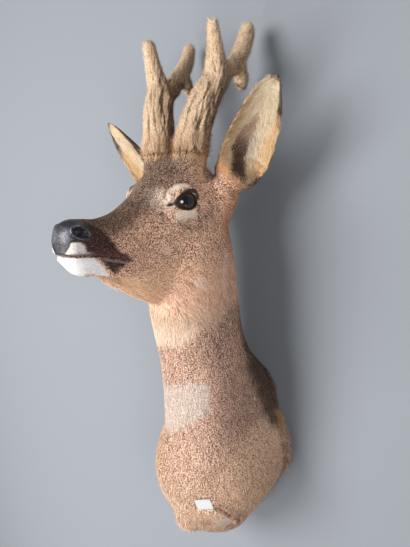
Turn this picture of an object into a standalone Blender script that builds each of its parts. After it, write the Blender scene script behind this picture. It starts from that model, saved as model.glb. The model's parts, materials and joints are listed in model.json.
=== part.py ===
import bpy
import bmesh
import numpy as np
from math import radians
from mathutils import Matrix, Vector

# A roe buck's head, neck and chest on a plain board that hangs on a wall.
# The origin is the centre of the board's back, +X is the deer's left, -Y is out
# of the wall and +Z is up. Sizes are in millimetres and angles in degrees.

MM = 0.001
GAP = 0.3

BOARD_THICKNESS = 15.0
BOARD_INSET = 8.0
BOARD_BEVEL = 2.0
HIDE_EDGE = 6.0

NOSE_TIP = (-31.4, -262.8, 278.0)
HEAD_YAW = -1.7
HEAD_ROLL = -1.4

EYE_RADIUS = 14.5
EYE_SEAT = (127.0, 29.2, 44.5)
EYE_FACING = (0.34, 0.92, 0.16)
EYE_OPENING = (12.5, 8.6)
EYE_SLANT = 20.0
LID_THICKNESS = 1.7

MOUTH_LENGTH = 61.0
MOUTH_DROP = 9.0
NOSTRIL_SEAT = (10.0, 16.0, 20.0)

ANTLER_ROOT = (152.0, 22.5, 96.0)
ANTLER_WAY = (4.0, 1.5, 32.0)
PEDICLE_RADIUS = 18.0
# Lengths of each antler in the head's frame, both given as for a left antler
FORK = (177.0, 40.0, 172.0)
ANTLER_SHAPES = {
    "left": {
        "tine": [(173.0, 42.0, 196.0), (167.0, 43.0, 223.0)],
        "tine_radii": (13.5, 10.0, 6.6),
        "web": [(170.0, 39.0, 168.0), (196.0, 41.0, 184.0)],
        "web_radii": (13.0, 10.5, 11.0),
        "top": [(229.0, 42.0, 219.0), (236.0, 43.0, 238.0)],
        "top_radii": (11.0, 11.5, 9.0),
        "spur": [(230.0, 38.0, 188.0), (239.0, 33.0, 178.0)],
        "web_cut": 185.0,
        "web_rise": 28.0,
        "spur_cut": 191.5,
        "phase": 0.0,
        "knob": (186.0, 47.0, 168.0),
    },
    "right": {
        "tine": [(169.0, 42.0, 195.0), (165.0, 44.0, 219.0)],
        "tine_radii": (12.0, 8.5, 6.4),
        "web": [(172.0, 39.0, 160.0), (194.0, 41.0, 175.0)],
        "web_radii": (13.0, 12.5, 11.0),
        "top": [(232.0, 43.0, 218.0), (240.0, 45.0, 236.0)],
        "top_radii": (10.5, 9.5, 7.5),
        "spur": [(230.0, 38.0, 184.0), (239.0, 33.0, 170.0)],
        "web_cut": 178.0,
        "web_rise": 36.0,
        "spur_cut": 187.0,
        "phase": 1.3,
        "knob": (170.0, 20.0, 158.0),
    },
}

CROWN_SEAT = (148.0, 0.0, 74.0)
CROWN_RADIUS = 21.0

EAR_ROOTS = {"left": (181.0, 52.0, 66.0), "right": (177.0, 56.0, 60.0)}
EAR_TIPS = {"left": (168.0, 116.0, 160.0), "right": (165.0, 120.0, 141.0)}
EAR_SKIN = 3.0
EAR_PLUG_RADIUS = 12.0
EAR_PLUG_DEPTH = 4.0

LABEL_SEAT = (29.0, -17.0)
LABEL_SIZE = (19.0, 14.0, 1.2)
LABEL_TURN = 17.0

VOXEL = 1.6
BODY_TRIANGLES = 5200
ANTLER_TRIANGLES = 720

NECK_CUT = (-14.0, -100.0, 222.0)
NECK_CUT_WAY = (0.0, -0.30, 0.954)
CHEST_CUT = (0.0, -80.0, 96.0)


# Tools for shapes

def clear_scene():
    for old in list(bpy.data.objects):
        bpy.data.objects.remove(old, do_unlink=True)


def smooth_step(value):
    t = np.clip(value, 0.0, 1.0)
    return t * t * (3.0 - 2.0 * t)


def curve_through(rows, count):
    """Catmull-Rom curve through rows, read at evenly spaced steps."""
    rows = np.array(rows, float)
    ends = np.vstack([2 * rows[0] - rows[1], rows, 2 * rows[-1] - rows[-2]])
    steps = np.linspace(0.0, len(rows) - 1, count)
    first = np.minimum(steps.astype(int), len(rows) - 2)
    t = (steps - first)[:, None]
    a, b, c, d = (ends[first + k] for k in range(4))
    return 0.5 * (2 * b + (c - a) * t + (2 * a - 5 * b + 4 * c - d) * t ** 2
                  + (3 * b - a - 3 * c + d) * t ** 3)


def value_at(position, rows):
    """One named measure along a length, joined smoothly between its rows."""
    fine = curve_through(rows, 12 * len(rows))
    return np.interp(position, fine[:, 0], fine[:, 1])


def loft(rings):
    """Closed skin over rings of equal length, with a fan at both ends."""
    rings = np.array(rings)
    count, sides = rings.shape[:2]
    points = rings.reshape(-1, 3).tolist()
    points += [rings[0].mean(axis=0).tolist(), rings[-1].mean(axis=0).tolist()]
    faces = []
    for row in range(count - 1):
        for k in range(sides):
            n = (k + 1) % sides
            low, high = row * sides, (row + 1) * sides
            faces.append((low + k, low + n, high + n, high + k))
    for k in range(sides):
        n = (k + 1) % sides
        last = (count - 1) * sides
        faces.append((n, k, count * sides))
        faces.append((last + k, last + n, count * sides + 1))
    return points, faces


def new_object(name, points, faces):
    mesh = bpy.data.meshes.new(name)
    mesh.from_pydata([Vector(p) * MM for p in points], [], faces)
    build = bmesh.new()
    build.from_mesh(mesh)
    bmesh.ops.recalc_face_normals(build, faces=build.faces)
    if build.calc_volume(signed=True) < 0:
        bmesh.ops.reverse_faces(build, faces=build.faces)
    build.to_mesh(mesh)
    build.free()
    made = bpy.data.objects.new(name, mesh)
    bpy.context.scene.collection.objects.link(made)
    return made


def bake(made):
    """Replace the object's mesh by what its modifiers give."""
    bpy.context.view_layer.update()
    seen = made.evaluated_get(bpy.context.evaluated_depsgraph_get())
    old = made.data
    made.data = bpy.data.meshes.new_from_object(seen)
    made.modifiers.clear()
    bpy.data.meshes.remove(old)
    return made


def fuse(name, pieces, voxel, rounds):
    """Join closed pieces to one skin and let it settle smoothly."""
    build = bmesh.new()
    for piece in pieces:
        build.from_mesh(piece.data)
        bpy.data.objects.remove(piece, do_unlink=True)
    mesh = bpy.data.meshes.new(name)
    build.to_mesh(mesh)
    build.free()
    made = bpy.data.objects.new(name, mesh)
    bpy.context.scene.collection.objects.link(made)
    remesh = made.modifiers.new("skin", "REMESH")
    remesh.mode = "VOXEL"
    remesh.voxel_size = voxel * MM
    relax = made.modifiers.new("settle", "SMOOTH")
    relax.factor = 0.5
    relax.iterations = rounds
    return bake(made)


def thin_out(made, triangles):
    """Keep about so many triangles, with the most where the form turns."""
    bake(made)
    made.data.calc_loop_triangles()
    share = triangles / len(made.data.loop_triangles)
    fewer = made.modifiers.new("fewer", "DECIMATE")
    fewer.ratio = min(1.0, share)
    fewer.use_collapse_triangulate = True
    return bake(made)


def boolean(made, tool, operation, solver="EXACT"):
    """Fuse or cut the object with a tool, which is used up."""
    cut = made.modifiers.new(operation.lower(), "BOOLEAN")
    cut.operation = operation
    cut.solver = solver
    cut.object = tool
    bake(made)
    bpy.data.objects.remove(tool, do_unlink=True)


def read_points(made):
    count = len(made.data.vertices)
    flat = np.empty(count * 3)
    made.data.vertices.foreach_get("co", flat)
    return flat.reshape(-1, 3) / MM


def read_normals(made):
    flat = np.empty(len(made.data.vertices) * 3)
    made.data.vertex_normals.foreach_get("vector", flat)
    return flat.reshape(-1, 3)


def write_points(made, points):
    made.data.vertices.foreach_set("co", (points * MM).ravel())
    made.data.update()


def keep_side(made, name, point, outward):
    """Copy of the object with all on the outward side of a plane cut off."""
    build = bmesh.new()
    build.from_mesh(made.data)
    geometry = build.verts[:] + build.edges[:] + build.faces[:]
    cut = bmesh.ops.bisect_plane(build, geom=geometry, dist=1e-7, plane_co=Vector(point) * MM,
                                 plane_no=Vector(outward), clear_outer=True)
    rim = [edge for edge in cut["geom_cut"] if isinstance(edge, bmesh.types.BMEdge)]
    filled = bmesh.ops.contextual_create(build, geom=rim)
    bmesh.ops.triangulate(build, faces=filled["faces"])
    mesh = bpy.data.meshes.new(name)
    build.to_mesh(mesh)
    build.free()
    kept = bpy.data.objects.new(name, mesh)
    bpy.context.scene.collection.objects.link(kept)
    return kept


def saw(made, point, way):
    """Two pieces of the object, above and below a thin cut."""
    away = Vector(way) * GAP / 2
    above = keep_side(made, "above", Vector(point) + away, -Vector(way))
    below = keep_side(made, "below", Vector(point) - away, way)
    bpy.data.objects.remove(made, do_unlink=True)
    return above, below


def loose_bodies(build):
    """Sets of vertices that hang together, the largest first."""
    left = set(build.verts)
    bodies = []
    while left:
        start = left.pop()
        found = {start}
        ends = [start]
        while ends:
            for edge in ends.pop().link_edges:
                for vertex in edge.verts:
                    if vertex not in found:
                        found.add(vertex)
                        ends.append(vertex)
        left -= found
        bodies.append(found)
    return sorted(bodies, key=len, reverse=True)


def largest_body(made):
    """Drop loose scraps that a cut may leave."""
    build = bmesh.new()
    build.from_mesh(made.data)
    scraps = [vertex for body in loose_bodies(build)[1:] for vertex in body]
    bmesh.ops.delete(build, geom=scraps, context="VERTS")
    build.to_mesh(made.data)
    build.free()


def material(name, colour, roughness, metallic=0.0):
    made = bpy.data.materials.new(name)
    made.use_nodes = True
    shader = made.node_tree.nodes["Principled BSDF"]
    shader.inputs["Base Color"].default_value = (*colour, 1.0)
    shader.inputs["Roughness"].default_value = roughness
    shader.inputs["Metallic"].default_value = metallic
    return made


def finish(made, name, look):
    made.name = name
    made.data.name = name
    made.data.materials.clear()
    made.data.materials.append(look)
    made.data.shade_smooth()
    made.data.set_sharp_from_angle(angle=radians(40))
    return made


# The head's own frame: how far back from the nose, how far left, how far up

def head_matrix():
    turn = Matrix.Rotation(radians(HEAD_YAW), 3, "Z") @ Matrix.Rotation(radians(HEAD_ROLL), 3, "Y")
    axes = np.array(turn) @ np.array([[0.0, 1.0, 0.0], [1.0, 0.0, 0.0], [0.0, 0.0, 1.0]])
    return axes


def from_head(points):
    return np.atleast_2d(points) @ head_matrix().T + NOSE_TIP


def to_head(points):
    return (np.atleast_2d(points) - NOSE_TIP) @ head_matrix()


def head_direction(vector):
    turned = head_matrix() @ np.array(vector)
    return turned / np.linalg.norm(turned)


def mirrored(spot, side):
    sign = 1.0 if side == "left" else -1.0
    return (spot[0], spot[1] * sign, spot[2])


# Flesh

def head_core():
    """Skull, muzzle and jaw: rings across the length of the head."""
    # Back from the nose, top, underside, half width, height of the widest place
    rows = [
        (1.0, 19.0, 6.0, 9.0, 13.0),
        (5.0, 27.0, -6.0, 16.0, 12.0),
        (12.0, 31.0, -15.0, 19.5, 13.0),
        (24.0, 31.5, -20.0, 21.0, 9.0),
        (40.0, 31.0, -25.0, 22.0, 4.0),
        (60.0, 36.0, -37.0, 25.5, 0.0),
        (80.0, 47.0, -49.0, 29.5, 2.0),
        (100.0, 62.0, -59.0, 35.0, 10.0),
        (120.0, 79.0, -67.0, 40.0, 20.0),
        (138.0, 92.0, -70.0, 44.0, 22.0),
        (155.0, 98.0, -70.0, 46.0, 20.0),
        (172.0, 98.0, -64.0, 45.0, 16.0),
        (190.0, 88.0, -52.0, 40.0, 12.0),
        (204.0, 66.0, -30.0, 30.0, 10.0),
    ]
    angles = np.linspace(0.0, 2 * np.pi, 48, endpoint=False)
    rings = []
    for back, top, under, half, middle in curve_through(rows, 70):
        crown = 2.0 + 0.5 * smooth_step((back - 100.0) / 40.0) - 0.25 * smooth_step((back - 30.0) / 30.0)
        jaw = 2.0 + 0.9 * smooth_step((back - 95.0) / 45.0)
        power = np.where(np.sin(angles) > 0, crown, jaw)
        side = np.sign(np.cos(angles)) * np.abs(np.cos(angles)) ** (2.0 / power) * half
        rise = np.abs(np.sin(angles)) ** (2.0 / power)
        reach = np.where(np.sin(angles) > 0, top - middle, under - middle)
        height = middle + rise * reach
        rings.append(from_head(np.column_stack([np.full_like(side, back), side, height])))
    return new_object("head_core", *loft(rings))


def trunk_rows(count):
    # Height, sideways, front, widest place, back, half width, flare at the wall
    rows = [
        (364.0, -27.0, -136.0, -104.0, -80.0, 28.0, 0.0),
        (330.0, -27.0, -146.0, -102.0, -60.0, 44.0, 0.0),
        (290.0, -23.0, -152.0, -100.0, -50.0, 51.0, 0.0),
        (250.0, -17.0, -154.0, -98.0, -46.0, 53.0, 0.0),
        (215.0, -12.0, -151.0, -97.0, -46.0, 52.0, 0.0),
        (176.0, -6.5, -147.0, -95.0, -43.0, 51.0, 0.0),
        (142.0, -1.5, -141.0, -89.0, -30.0, 52.5, 0.0),
        (112.0, 0.0, -138.0, -84.0, -4.0, 53.0, 0.04),
        (84.0, 0.5, -137.0, -80.0, 18.0, 53.5, 0.24),
        (54.0, 2.0, -136.0, -72.0, 20.0, 58.5, 0.24),
        (24.0, 1.0, -137.0, -62.0, 20.0, 72.0, 0.10),
        (-5.0, -1.0, -138.0, -56.0, 20.0, 79.0, 0.0),
        (-34.0, -4.5, -132.0, -52.0, 20.0, 75.0, 0.0),
        (-60.0, -7.0, -119.0, -46.0, 20.0, 64.0, 0.0),
        (-80.0, -9.5, -105.0, -42.0, 20.0, 54.0, 0.0),
        (-95.0, -11.0, -92.0, -38.0, 20.0, 47.5, 0.0),
        (-99.0, -11.0, -88.0, -36.0, 20.0, 45.0, 0.0),
    ]
    return curve_through(rows, count)


def squareness(widest, back):
    """Exponent of a ring's rear half: round on the neck, square at the wall."""
    return 2.15 + 1.35 * smooth_step((back - widest - 50.0) / 24.0)


def trunk_core():
    """Neck and chest: level rings from the nape down to the brisket."""
    angles = np.linspace(0.0, 2 * np.pi, 56, endpoint=False)
    deep_way, wide_way = np.abs(np.sin(angles)), np.cos(angles)
    behind = np.sin(angles) > 0
    rings = []
    for height, sideways, front, widest, back, half, flare in trunk_rows(110):
        power = np.where(behind, squareness(widest, back), 2.1)
        deep = deep_way ** (2.0 / power)
        wide = np.sign(wide_way) * np.abs(wide_way) ** (2.0 / power) * half
        wide = np.where(behind, wide * (1.0 + flare * deep ** 2), wide)
        out = np.where(behind, widest + deep * (back - widest), widest - deep * (widest - front))
        rings.append(np.column_stack([sideways + wide, out, np.full_like(wide, height)]))
    return new_object("trunk_core", *loft(rings))


def wall_outline(inset):
    """Edge of the hide at the wall, drawn in by an inset."""
    right, left = [], []
    for height, sideways, front, widest, back, half, flare in trunk_rows(110)[::3]:
        depth = (-HIDE_EDGE - widest) / (back - widest)
        if depth < 1.0:
            power = squareness(widest, back)
            reach = half * (1.0 - depth ** power) ** (1.0 / power) * (1.0 + flare * depth ** 2)
            if reach > 4.0:
                left.append((sideways + reach, height))
                right.append((sideways - reach, height))
    outline = np.array(left + right[::-1])
    middle = outline.mean(axis=0)
    spoke = outline - middle
    return middle + spoke * (1.0 - inset / np.hypot(spoke[:, 0], spoke[:, 1]))[:, None]


def ear_mound(side):
    """Muscle that the ear stands on, running down behind the jaw."""
    root, axis = ear_frame(side)[:2]
    low = np.array(mirrored((166.0, 26.0, -16.0), side))
    middle = np.array(mirrored((172.0, 36.0, 26.0), side))
    path = curve_through([low, middle, root - axis * 4.0, root + axis * 6.0], 9)
    radii = curve_through([[19.0], [21.0], [18.5], [16.5]], 9)[:, 0]
    rings = [circle_across(place, axis, radius, 20) for place, radius in zip(path, radii)]
    return new_object("mound", *loft([from_head(ring) for ring in rings]))


def pedicle(side):
    """Bony stem with its collar of skin that carries the antler."""
    places = [(148.0, 12.0, 52.0), (150.0, 16.0, 74.0), (151.5, 20.5, 88.0), (152.5, 22.7, 102.0)]
    radii = [27.0, 22.5, 19.0, 17.6]
    rings = []
    for place, radius in zip(places, radii):
        rings.append(circle_across(mirrored(place, side), mirrored(ANTLER_WAY, side), radius, 20))
    return new_object("pedicle", *loft([from_head(ring) for ring in rings]))


def circle_across(centre, axis, radius, sides):
    axis = np.array(axis) / np.linalg.norm(axis)
    start = np.cross(axis, (0.0, 0.0, 1.0)) if abs(axis[2]) < 0.9 else np.cross(axis, (1.0, 0.0, 0.0))
    start = start / np.linalg.norm(start)
    other = np.cross(axis, start)
    angles = np.linspace(0.0, 2 * np.pi, sides, endpoint=False)[:, None]
    return np.array(centre) + radius * (np.cos(angles) * start + np.sin(angles) * other)


def settle_throat(body):
    """Let jaw, ear muscles and neck flow into one another."""
    spots = to_head(read_points(body))
    back, up = spots[:, 0], spots[:, 2]
    above_neck = smooth_step((up + 120.0) / 30.0)
    jaw = smooth_step((back - 105.0) / 30.0) * smooth_step((85.0 - up) / 40.0) * above_neck
    nape = smooth_step((back - 168.0) / 20.0) * above_neck
    crown = 0.35 * smooth_step((back - 118.0) / 20.0) * smooth_step((up - 50.0) / 20.0)
    weight = np.maximum(np.maximum(jaw, nape), crown)
    group = body.vertex_groups.new(name="throat")
    for index in np.flatnonzero(weight > 0.01):
        group.add([int(index)], float(weight[index]), "REPLACE")
    relax = body.modifiers.new("settle", "SMOOTH")
    relax.factor = 0.5
    relax.iterations = 110
    relax.vertex_group = group.name
    bake(body)


def swell(spots, outward, place, radius, height):
    """Push the skin out or in round one place on each side of the head."""
    near = spots - np.array(place)
    push = height * np.exp(-(near ** 2).sum(axis=1) / radius ** 2)
    return outward * push[:, None]


def shape_face(body):
    points = read_points(body)
    spots = to_head(points)
    side = np.where(spots[:, 1] < 0, -1.0, 1.0)
    spots[:, 1] *= side
    outward = read_normals(body) @ head_matrix()
    outward[:, 1] *= side
    start = spots.copy()

    # Place on the left side, spread and height of each swelling or hollow
    forms = {
        "brow": ((121.0, 40.0, 62.0), 12.0, 4.5),
        "brow_front": ((109.0, 34.0, 54.0), 10.0, 6.5),
        "brow_rear": ((136.0, 43.0, 58.0), 11.0, 2.5),
        "cheek_bone": ((116.0, 38.0, 25.0), 15.0, 3.0),
        "tear_hollow": ((98.0, 27.0, 40.0), 9.0, -2.4),
        "chewing_muscle": ((137.0, 42.0, -18.0), 27.0, 4.0),
        "face_hollow": ((84.0, 30.0, 2.0), 16.0, -2.0),
        "temple": ((152.0, 44.0, 56.0), 12.0, -2.5),
        "upper_lip": ((32.0, 22.0, 8.0), 12.0, 2.0),
        "nostril_wing": ((11.0, 19.0, 25.0), 6.5, 2.2),
        "chin": ((20.0, 6.0, -19.0), 10.0, 2.0),
        "jaw_hollow": ((66.0, 20.0, -36.0), 14.0, -2.5),
    }
    for place, spread, height in forms.values():
        start += swell(spots, outward, place, spread, height)

    start = part_lips(spots, start, outward)
    start = open_nostrils(spots, start, outward)
    start = set_lids(start)
    start[:, 1] *= side
    write_points(body, np.where(spots[:, :1] < 230.0, from_head(start), points))


def mouth_height(back):
    return -MOUTH_DROP * smooth_step((back - 12.0) / (MOUTH_LENGTH - 4.0)) - 0.5


def part_lips(spots, moved, outward):
    """Line of the mouth, with a lip rolled above and below it."""
    back = spots[:, 0]
    above = spots[:, 2] - mouth_height(back)
    along = smooth_step((MOUTH_LENGTH + 3.0 - back) / 8.0)
    forward = np.where(back < 100.0, 1.0, 0.0) * along
    groove = -2.6 * np.exp(-(above / 1.5) ** 2)
    rolls = 1.1 * np.exp(-((np.abs(above) - 4.2) / 2.4) ** 2)
    return moved + outward * ((groove + rolls) * forward)[:, None]


def open_nostrils(spots, moved, outward):
    """Comma-shaped pit with its tail curling back and up."""
    back, left, up = NOSTRIL_SEAT
    depth = np.zeros(len(spots))
    for step in range(6):
        t = step / 5.0
        place = np.array([back + 9.0 * t, left + 2.5 * t, up + 4.5 * t * t - 1.5 * (1.0 - t)])
        spread = 3.4 - 1.4 * t
        near = ((spots - place) ** 2).sum(axis=1)
        depth = np.maximum(depth, (5.0 - 2.6 * t) * np.exp(-near / spread ** 2))
    return moved - outward * depth[:, None]


def eye_axes():
    """Along the opening, across it and out of it, for the left eye."""
    out = np.array([-EYE_FACING[0], EYE_FACING[1], EYE_FACING[2]])
    out = out / np.linalg.norm(out)
    rear = np.array([1.0, 0.0, np.tan(radians(EYE_SLANT))])
    rear = rear - out * (rear @ out)
    rear = rear / np.linalg.norm(rear)
    across = np.cross(rear, out)
    across = across if across[2] > 0 else -across
    return rear, across, out


def set_lids(spots):
    """Lids that lie on the eyeball round an almond-shaped opening."""
    rear, across, out = eye_axes()
    near = spots - np.array(EYE_SEAT)
    along, over, high = near @ rear, near @ across, near @ out
    half_length, half_height = EYE_OPENING
    from_middle = np.hypot(along / half_length, over / half_height)
    ball = np.sqrt(np.clip(EYE_RADIUS ** 2 - along ** 2 - over ** 2, 0.0, None))
    lid = ball + LID_THICKNESS * smooth_step((from_middle - 0.92) / 0.2)
    sunk = ball - 3.5
    inside = 1.0 - smooth_step((from_middle - 0.9) / 0.12)
    target = np.where(inside > 0, inside * sunk + (1.0 - inside) * lid, np.maximum(lid, high))
    from_centre = np.hypot(along, over)
    reach = 1.0 - smooth_step((from_centre - EYE_RADIUS) / 4.0)
    facing = (high > 0.0) & (from_centre < EYE_RADIUS + 4.0)
    change = np.where(facing, reach * (target - high), 0.0)
    return spots + change[:, None] * out


def ball(name, centre, radius, rings=14, sides=20):
    build = bmesh.new()
    bmesh.ops.create_uvsphere(build, u_segments=sides, v_segments=rings, radius=radius * MM,
                              matrix=Matrix.Translation(Vector(centre) * MM))
    mesh = bpy.data.meshes.new(name)
    build.to_mesh(mesh)
    build.free()
    made = bpy.data.objects.new(name, mesh)
    bpy.context.scene.collection.objects.link(made)
    return made


def eye_centre(side):
    return from_head([mirrored(EYE_SEAT, side)])[0]


def plug(name, root, axis, radius, depth, reach):
    """Round stub that stands in a socket of the head."""
    axis = np.array(axis) / np.linalg.norm(axis)
    rings = [circle_across(np.array(root) + axis * along, axis, radius, 24) for along in (-depth, reach)]
    return new_object(name, *loft([from_head(ring) for ring in rings]))


def cut_sockets(head, side):
    """Seats for the eye, the ear's stub and the foot of the antler.

    The head's skin folds tightly at the lids, which only the manifold solver cuts cleanly.
    """
    ear_root, ear_axis = ear_frame(side)[:2]
    antler_root, antler_way = mirrored(ANTLER_ROOT, side), mirrored(ANTLER_WAY, side)
    seats = [
        ball("eye_socket", eye_centre(side), EYE_RADIUS + GAP),
        plug("ear_socket", ear_root, ear_axis, EAR_PLUG_RADIUS + GAP, EAR_PLUG_DEPTH + GAP, 10.0),
        plug("ear_clearance", ear_root, ear_axis, 23.0, GAP, 12.0),
        plug("antler_seat", antler_root, antler_way, PEDICLE_RADIUS + 1.5, GAP, 16.0),
    ]
    for seat in seats:
        boolean(head, seat, "DIFFERENCE", "MANIFOLD")


# Ears

def ear_frame(side):
    root = np.array(mirrored(EAR_ROOTS[side], side))
    tip = np.array(mirrored(EAR_TIPS[side], side))
    axis = (tip - root) / np.linalg.norm(tip - root)
    facing = np.array(mirrored((-0.85, 0.51, -0.15), side))
    facing = facing - axis * (facing @ axis)
    facing = facing / np.linalg.norm(facing)
    across = np.cross(axis, facing)
    return root, axis, facing, across, np.linalg.norm(tip - root)


def ear(side):
    """Cup from its solid root to a rounded tip: each ring is a crescent."""
    root, axis, facing, across, length = ear_frame(side)
    sign = 1.0 if side == "left" else -1.0
    # Share of the length, then half width to the inner edge, to the outer edge, and depth
    inner_widths = [(0.0, 17.5), (0.1, 20.5), (0.25, 25.0), (0.45, 26.5), (0.65, 24.0), (0.82, 19.0),
                    (0.94, 12.5), (1.0, 6.0)]
    outer_widths = [(0.0, 20.0), (0.1, 27.0), (0.25, 29.0), (0.45, 25.5), (0.65, 20.5), (0.82, 14.0),
                    (0.94, 7.5), (1.0, 3.0)]
    depths = [(0.0, 14.5), (0.12, 17.0), (0.3, 18.5), (0.5, 16.0), (0.75, 9.5), (1.0, 3.5)]
    angles = np.linspace(-np.pi / 2, np.pi / 2, 10)
    rings = []
    for t in np.linspace(0.0, 1.0, 17):
        half = np.where(angles * sign > 0, value_at(t, inner_widths), value_at(t, outer_widths))
        deep = value_at(t, depths)
        opened = smooth_step((t - 0.08) / 0.16)
        hollow = -deep * (1.0 - opened) + (deep - EAR_SKIN) * opened
        edge = half - 1.2 * opened
        outer = np.column_stack([half * np.sin(angles), -deep * np.cos(angles)])
        inner = np.column_stack([edge * np.sin(angles), -hollow * np.cos(angles) + 0.8])[::-1]
        ring = np.vstack([outer, inner])
        bend = -sign * 4.0 * np.sin(np.pi * t)
        lean = 4.0 * t * (1.0 - t)
        centre = root + axis * (length * t) + across * bend - facing * lean
        rings.append(centre + ring[:, :1] * across + ring[:, 1:] * facing)
    made = new_object("ear_" + side, *loft([from_head(ring) for ring in rings]))
    boolean(made, plug("stub", root, axis, EAR_PLUG_RADIUS, EAR_PLUG_DEPTH, 4.0), "UNION")
    return made


# Antlers in velvet

def tube(points, radii, flat, side, sides=16, count=14):
    """Tapering round or flattened length through a few points of the left antler."""
    path = curve_through([mirrored(point, side) for point in points], count)
    sizes = curve_through([[r] for r in radii], count)[:, 0]
    thin = curve_through([[f] for f in flat], count)[:, 0]
    rings = []
    for k in range(count):
        along = path[min(k + 1, count - 1)] - path[max(k - 1, 0)]
        along = along / np.linalg.norm(along)
        across = np.cross(along, (1.0, 0.0, 0.0))
        across = across / np.linalg.norm(across)
        third = np.cross(along, across)
        angles = np.linspace(0.0, 2 * np.pi, sides, endpoint=False)[:, None]
        ring = path[k] + sizes[k] * (np.cos(angles) * third + thin[k] * np.sin(angles) * across)
        rings.append(from_head(ring))
    return new_object("length", *loft(rings))


def rounded_end(points, radii):
    """Carry a length past its last point to a blunt tip."""
    last = np.array(points[-1], float)
    way = last - np.array(points[-2], float)
    way = way / np.linalg.norm(way)
    return points + [tuple(last + way * radii[-1] * 0.7)], (*radii, radii[-1] * 0.35)


def antler(side):
    """Beam, front tine, upper beam, the web to it and a short spur behind."""
    shape = ANTLER_SHAPES[side]
    base = (152.0, 22.5, 80.0)
    lower = (156.0, 24.0, 112.0)
    middle = (163.0, 31.0, 143.0)
    upper_fork = (218.0, 41.0, 200.0)
    tine, tine_radii = rounded_end([FORK] + shape["tine"], shape["tine_radii"])
    top, top_radii = rounded_end([upper_fork] + shape["top"], shape["top_radii"])
    spur, spur_radii = rounded_end([upper_fork] + shape["spur"], (10.5, 7.5, 5.5))
    lengths = [
        tube([base, lower, middle, FORK], (17.5, 16.5, 15.5, 12.5), (1.0, 1.0, 1.0, 1.0), side),
        tube(tine, tine_radii, (1.0, 1.0, 1.0, 1.0), side),
        tube(shape["web"] + [upper_fork], shape["web_radii"], (0.8, 0.7, 0.8), side),
        tube(top, top_radii, (0.85, 0.9, 1.0, 1.0), side),
        tube(spur, spur_radii, (0.85, 0.9, 1.0, 1.0), side),
    ]
    made = fuse("antler_" + side, lengths, 1.5, 4)
    wrinkle_velvet(made, side)
    thin_out(made, ANTLER_TRIANGLES)
    root = from_head([mirrored(ANTLER_ROOT, side)])[0]
    footed = keep_side(made, made.name, root, -head_direction(mirrored(ANTLER_WAY, side)))
    bpy.data.objects.remove(made, do_unlink=True)
    return footed


def wrinkle_velvet(made, side):
    """Lengthwise ridges and a knob on the inner side of each beam."""
    points = read_points(made)
    outward = read_normals(made)
    spots = to_head(points)
    s = 1.0 if side == "left" else -1.0
    spots[:, 1] *= s
    turn = np.arctan2(spots[:, 0] - 165.0 - 0.25 * (spots[:, 2] - 140.0), spots[:, 1] - 32.0)
    waves = np.sin(7.0 * turn + 0.055 * spots[:, 2] + ANTLER_SHAPES[side]["phase"])
    fade = smooth_step((spots[:, 2] - 92.0) / 14.0) * smooth_step((205.0 - spots[:, 2]) / 40.0)
    ridges = 0.8 * waves * fade
    knob = 3.5 * np.exp(-((spots - ANTLER_SHAPES[side]["knob"]) ** 2).sum(axis=1) / 7.0 ** 2)
    write_points(made, points + outward * (ridges + knob)[:, None])


def part_antler(made, side):
    """Saw the antler through at its forks, a thin kerf at each."""
    shape = ANTLER_SHAPES[side]
    kerfs = [
        ((173.5, 41.5, 189.0), (-5.0, 2.0, 23.0), 15.0),
        ((196.0, 41.0, shape["web_cut"]), (40.0, 1.0, shape["web_rise"]), 18.0),
        ((225.5, 39.5, shape["spur_cut"]), (12.0, -4.0, -13.0), 13.5),
    ]
    for centre, way, radius in kerfs:
        centre = np.array(mirrored(centre, side))
        way = np.array(mirrored(way, side)) / np.linalg.norm(way)
        rings = [circle_across(centre + way * step * GAP, way, radius, 20) for step in (-0.5, 0.5)]
        kerf = new_object("kerf", *loft([from_head(ring) for ring in rings]))
        boolean(made, kerf, "DIFFERENCE")
    wanted = {
        "beam": (160.0, 28.0, 135.0),
        "front_tine": (170.0, 42.0, 207.0),
        "upper_beam": (222.0, 42.0, 208.0),
        "rear_tine": (233.0, 37.0, 182.0),
    }
    places = {}
    for length, spot in wanted.items():
        places["antler_%s_%s" % (side, length)] = from_head([mirrored(spot, side)])[0]
    return split_loose(made, places)


def split_loose(made, wanted):
    """One object for each loose body, named after the place it lies at."""
    build = bmesh.new()
    build.from_mesh(made.data)
    bodies = loose_bodies(build)[:len(wanted)]
    centres = [np.mean([vertex.co[:] for vertex in body], axis=0) / MM for body in bodies]
    pieces = {}
    for name, place in wanted.items():
        nearest = int(np.argmin([np.linalg.norm(centre - place) for centre in centres]))
        members = sorted(bodies[nearest], key=lambda vertex: vertex.index)
        order = {vertex: index for index, vertex in enumerate(members)}
        own = [face for face in build.faces if face.verts[0] in order]
        faces = [[order[vertex] for vertex in face.verts] for face in own]
        pieces[name] = new_object(name, [vertex.co / MM for vertex in members], faces)
    build.free()
    bpy.data.objects.remove(made, do_unlink=True)
    return pieces


# Board and label

def board_recess():
    outline = wall_outline(BOARD_INSET - GAP)
    depths = (-BOARD_THICKNESS - GAP, HIDE_EDGE)
    rings = [np.column_stack([outline[:, 0], np.full(len(outline), y), outline[:, 1]]) for y in depths]
    return new_object("recess", *loft(rings))


def board():
    rings = []
    for out, inset in ((0.0, BOARD_BEVEL), (BOARD_BEVEL, 0.0), (BOARD_THICKNESS - BOARD_BEVEL, 0.0),
                       (BOARD_THICKNESS, BOARD_BEVEL)):
        outline = wall_outline(BOARD_INSET + inset)
        rings.append(np.column_stack([outline[:, 0], np.full(len(outline), -out), outline[:, 1]]))
    return new_object("board", *loft(rings))


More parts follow.
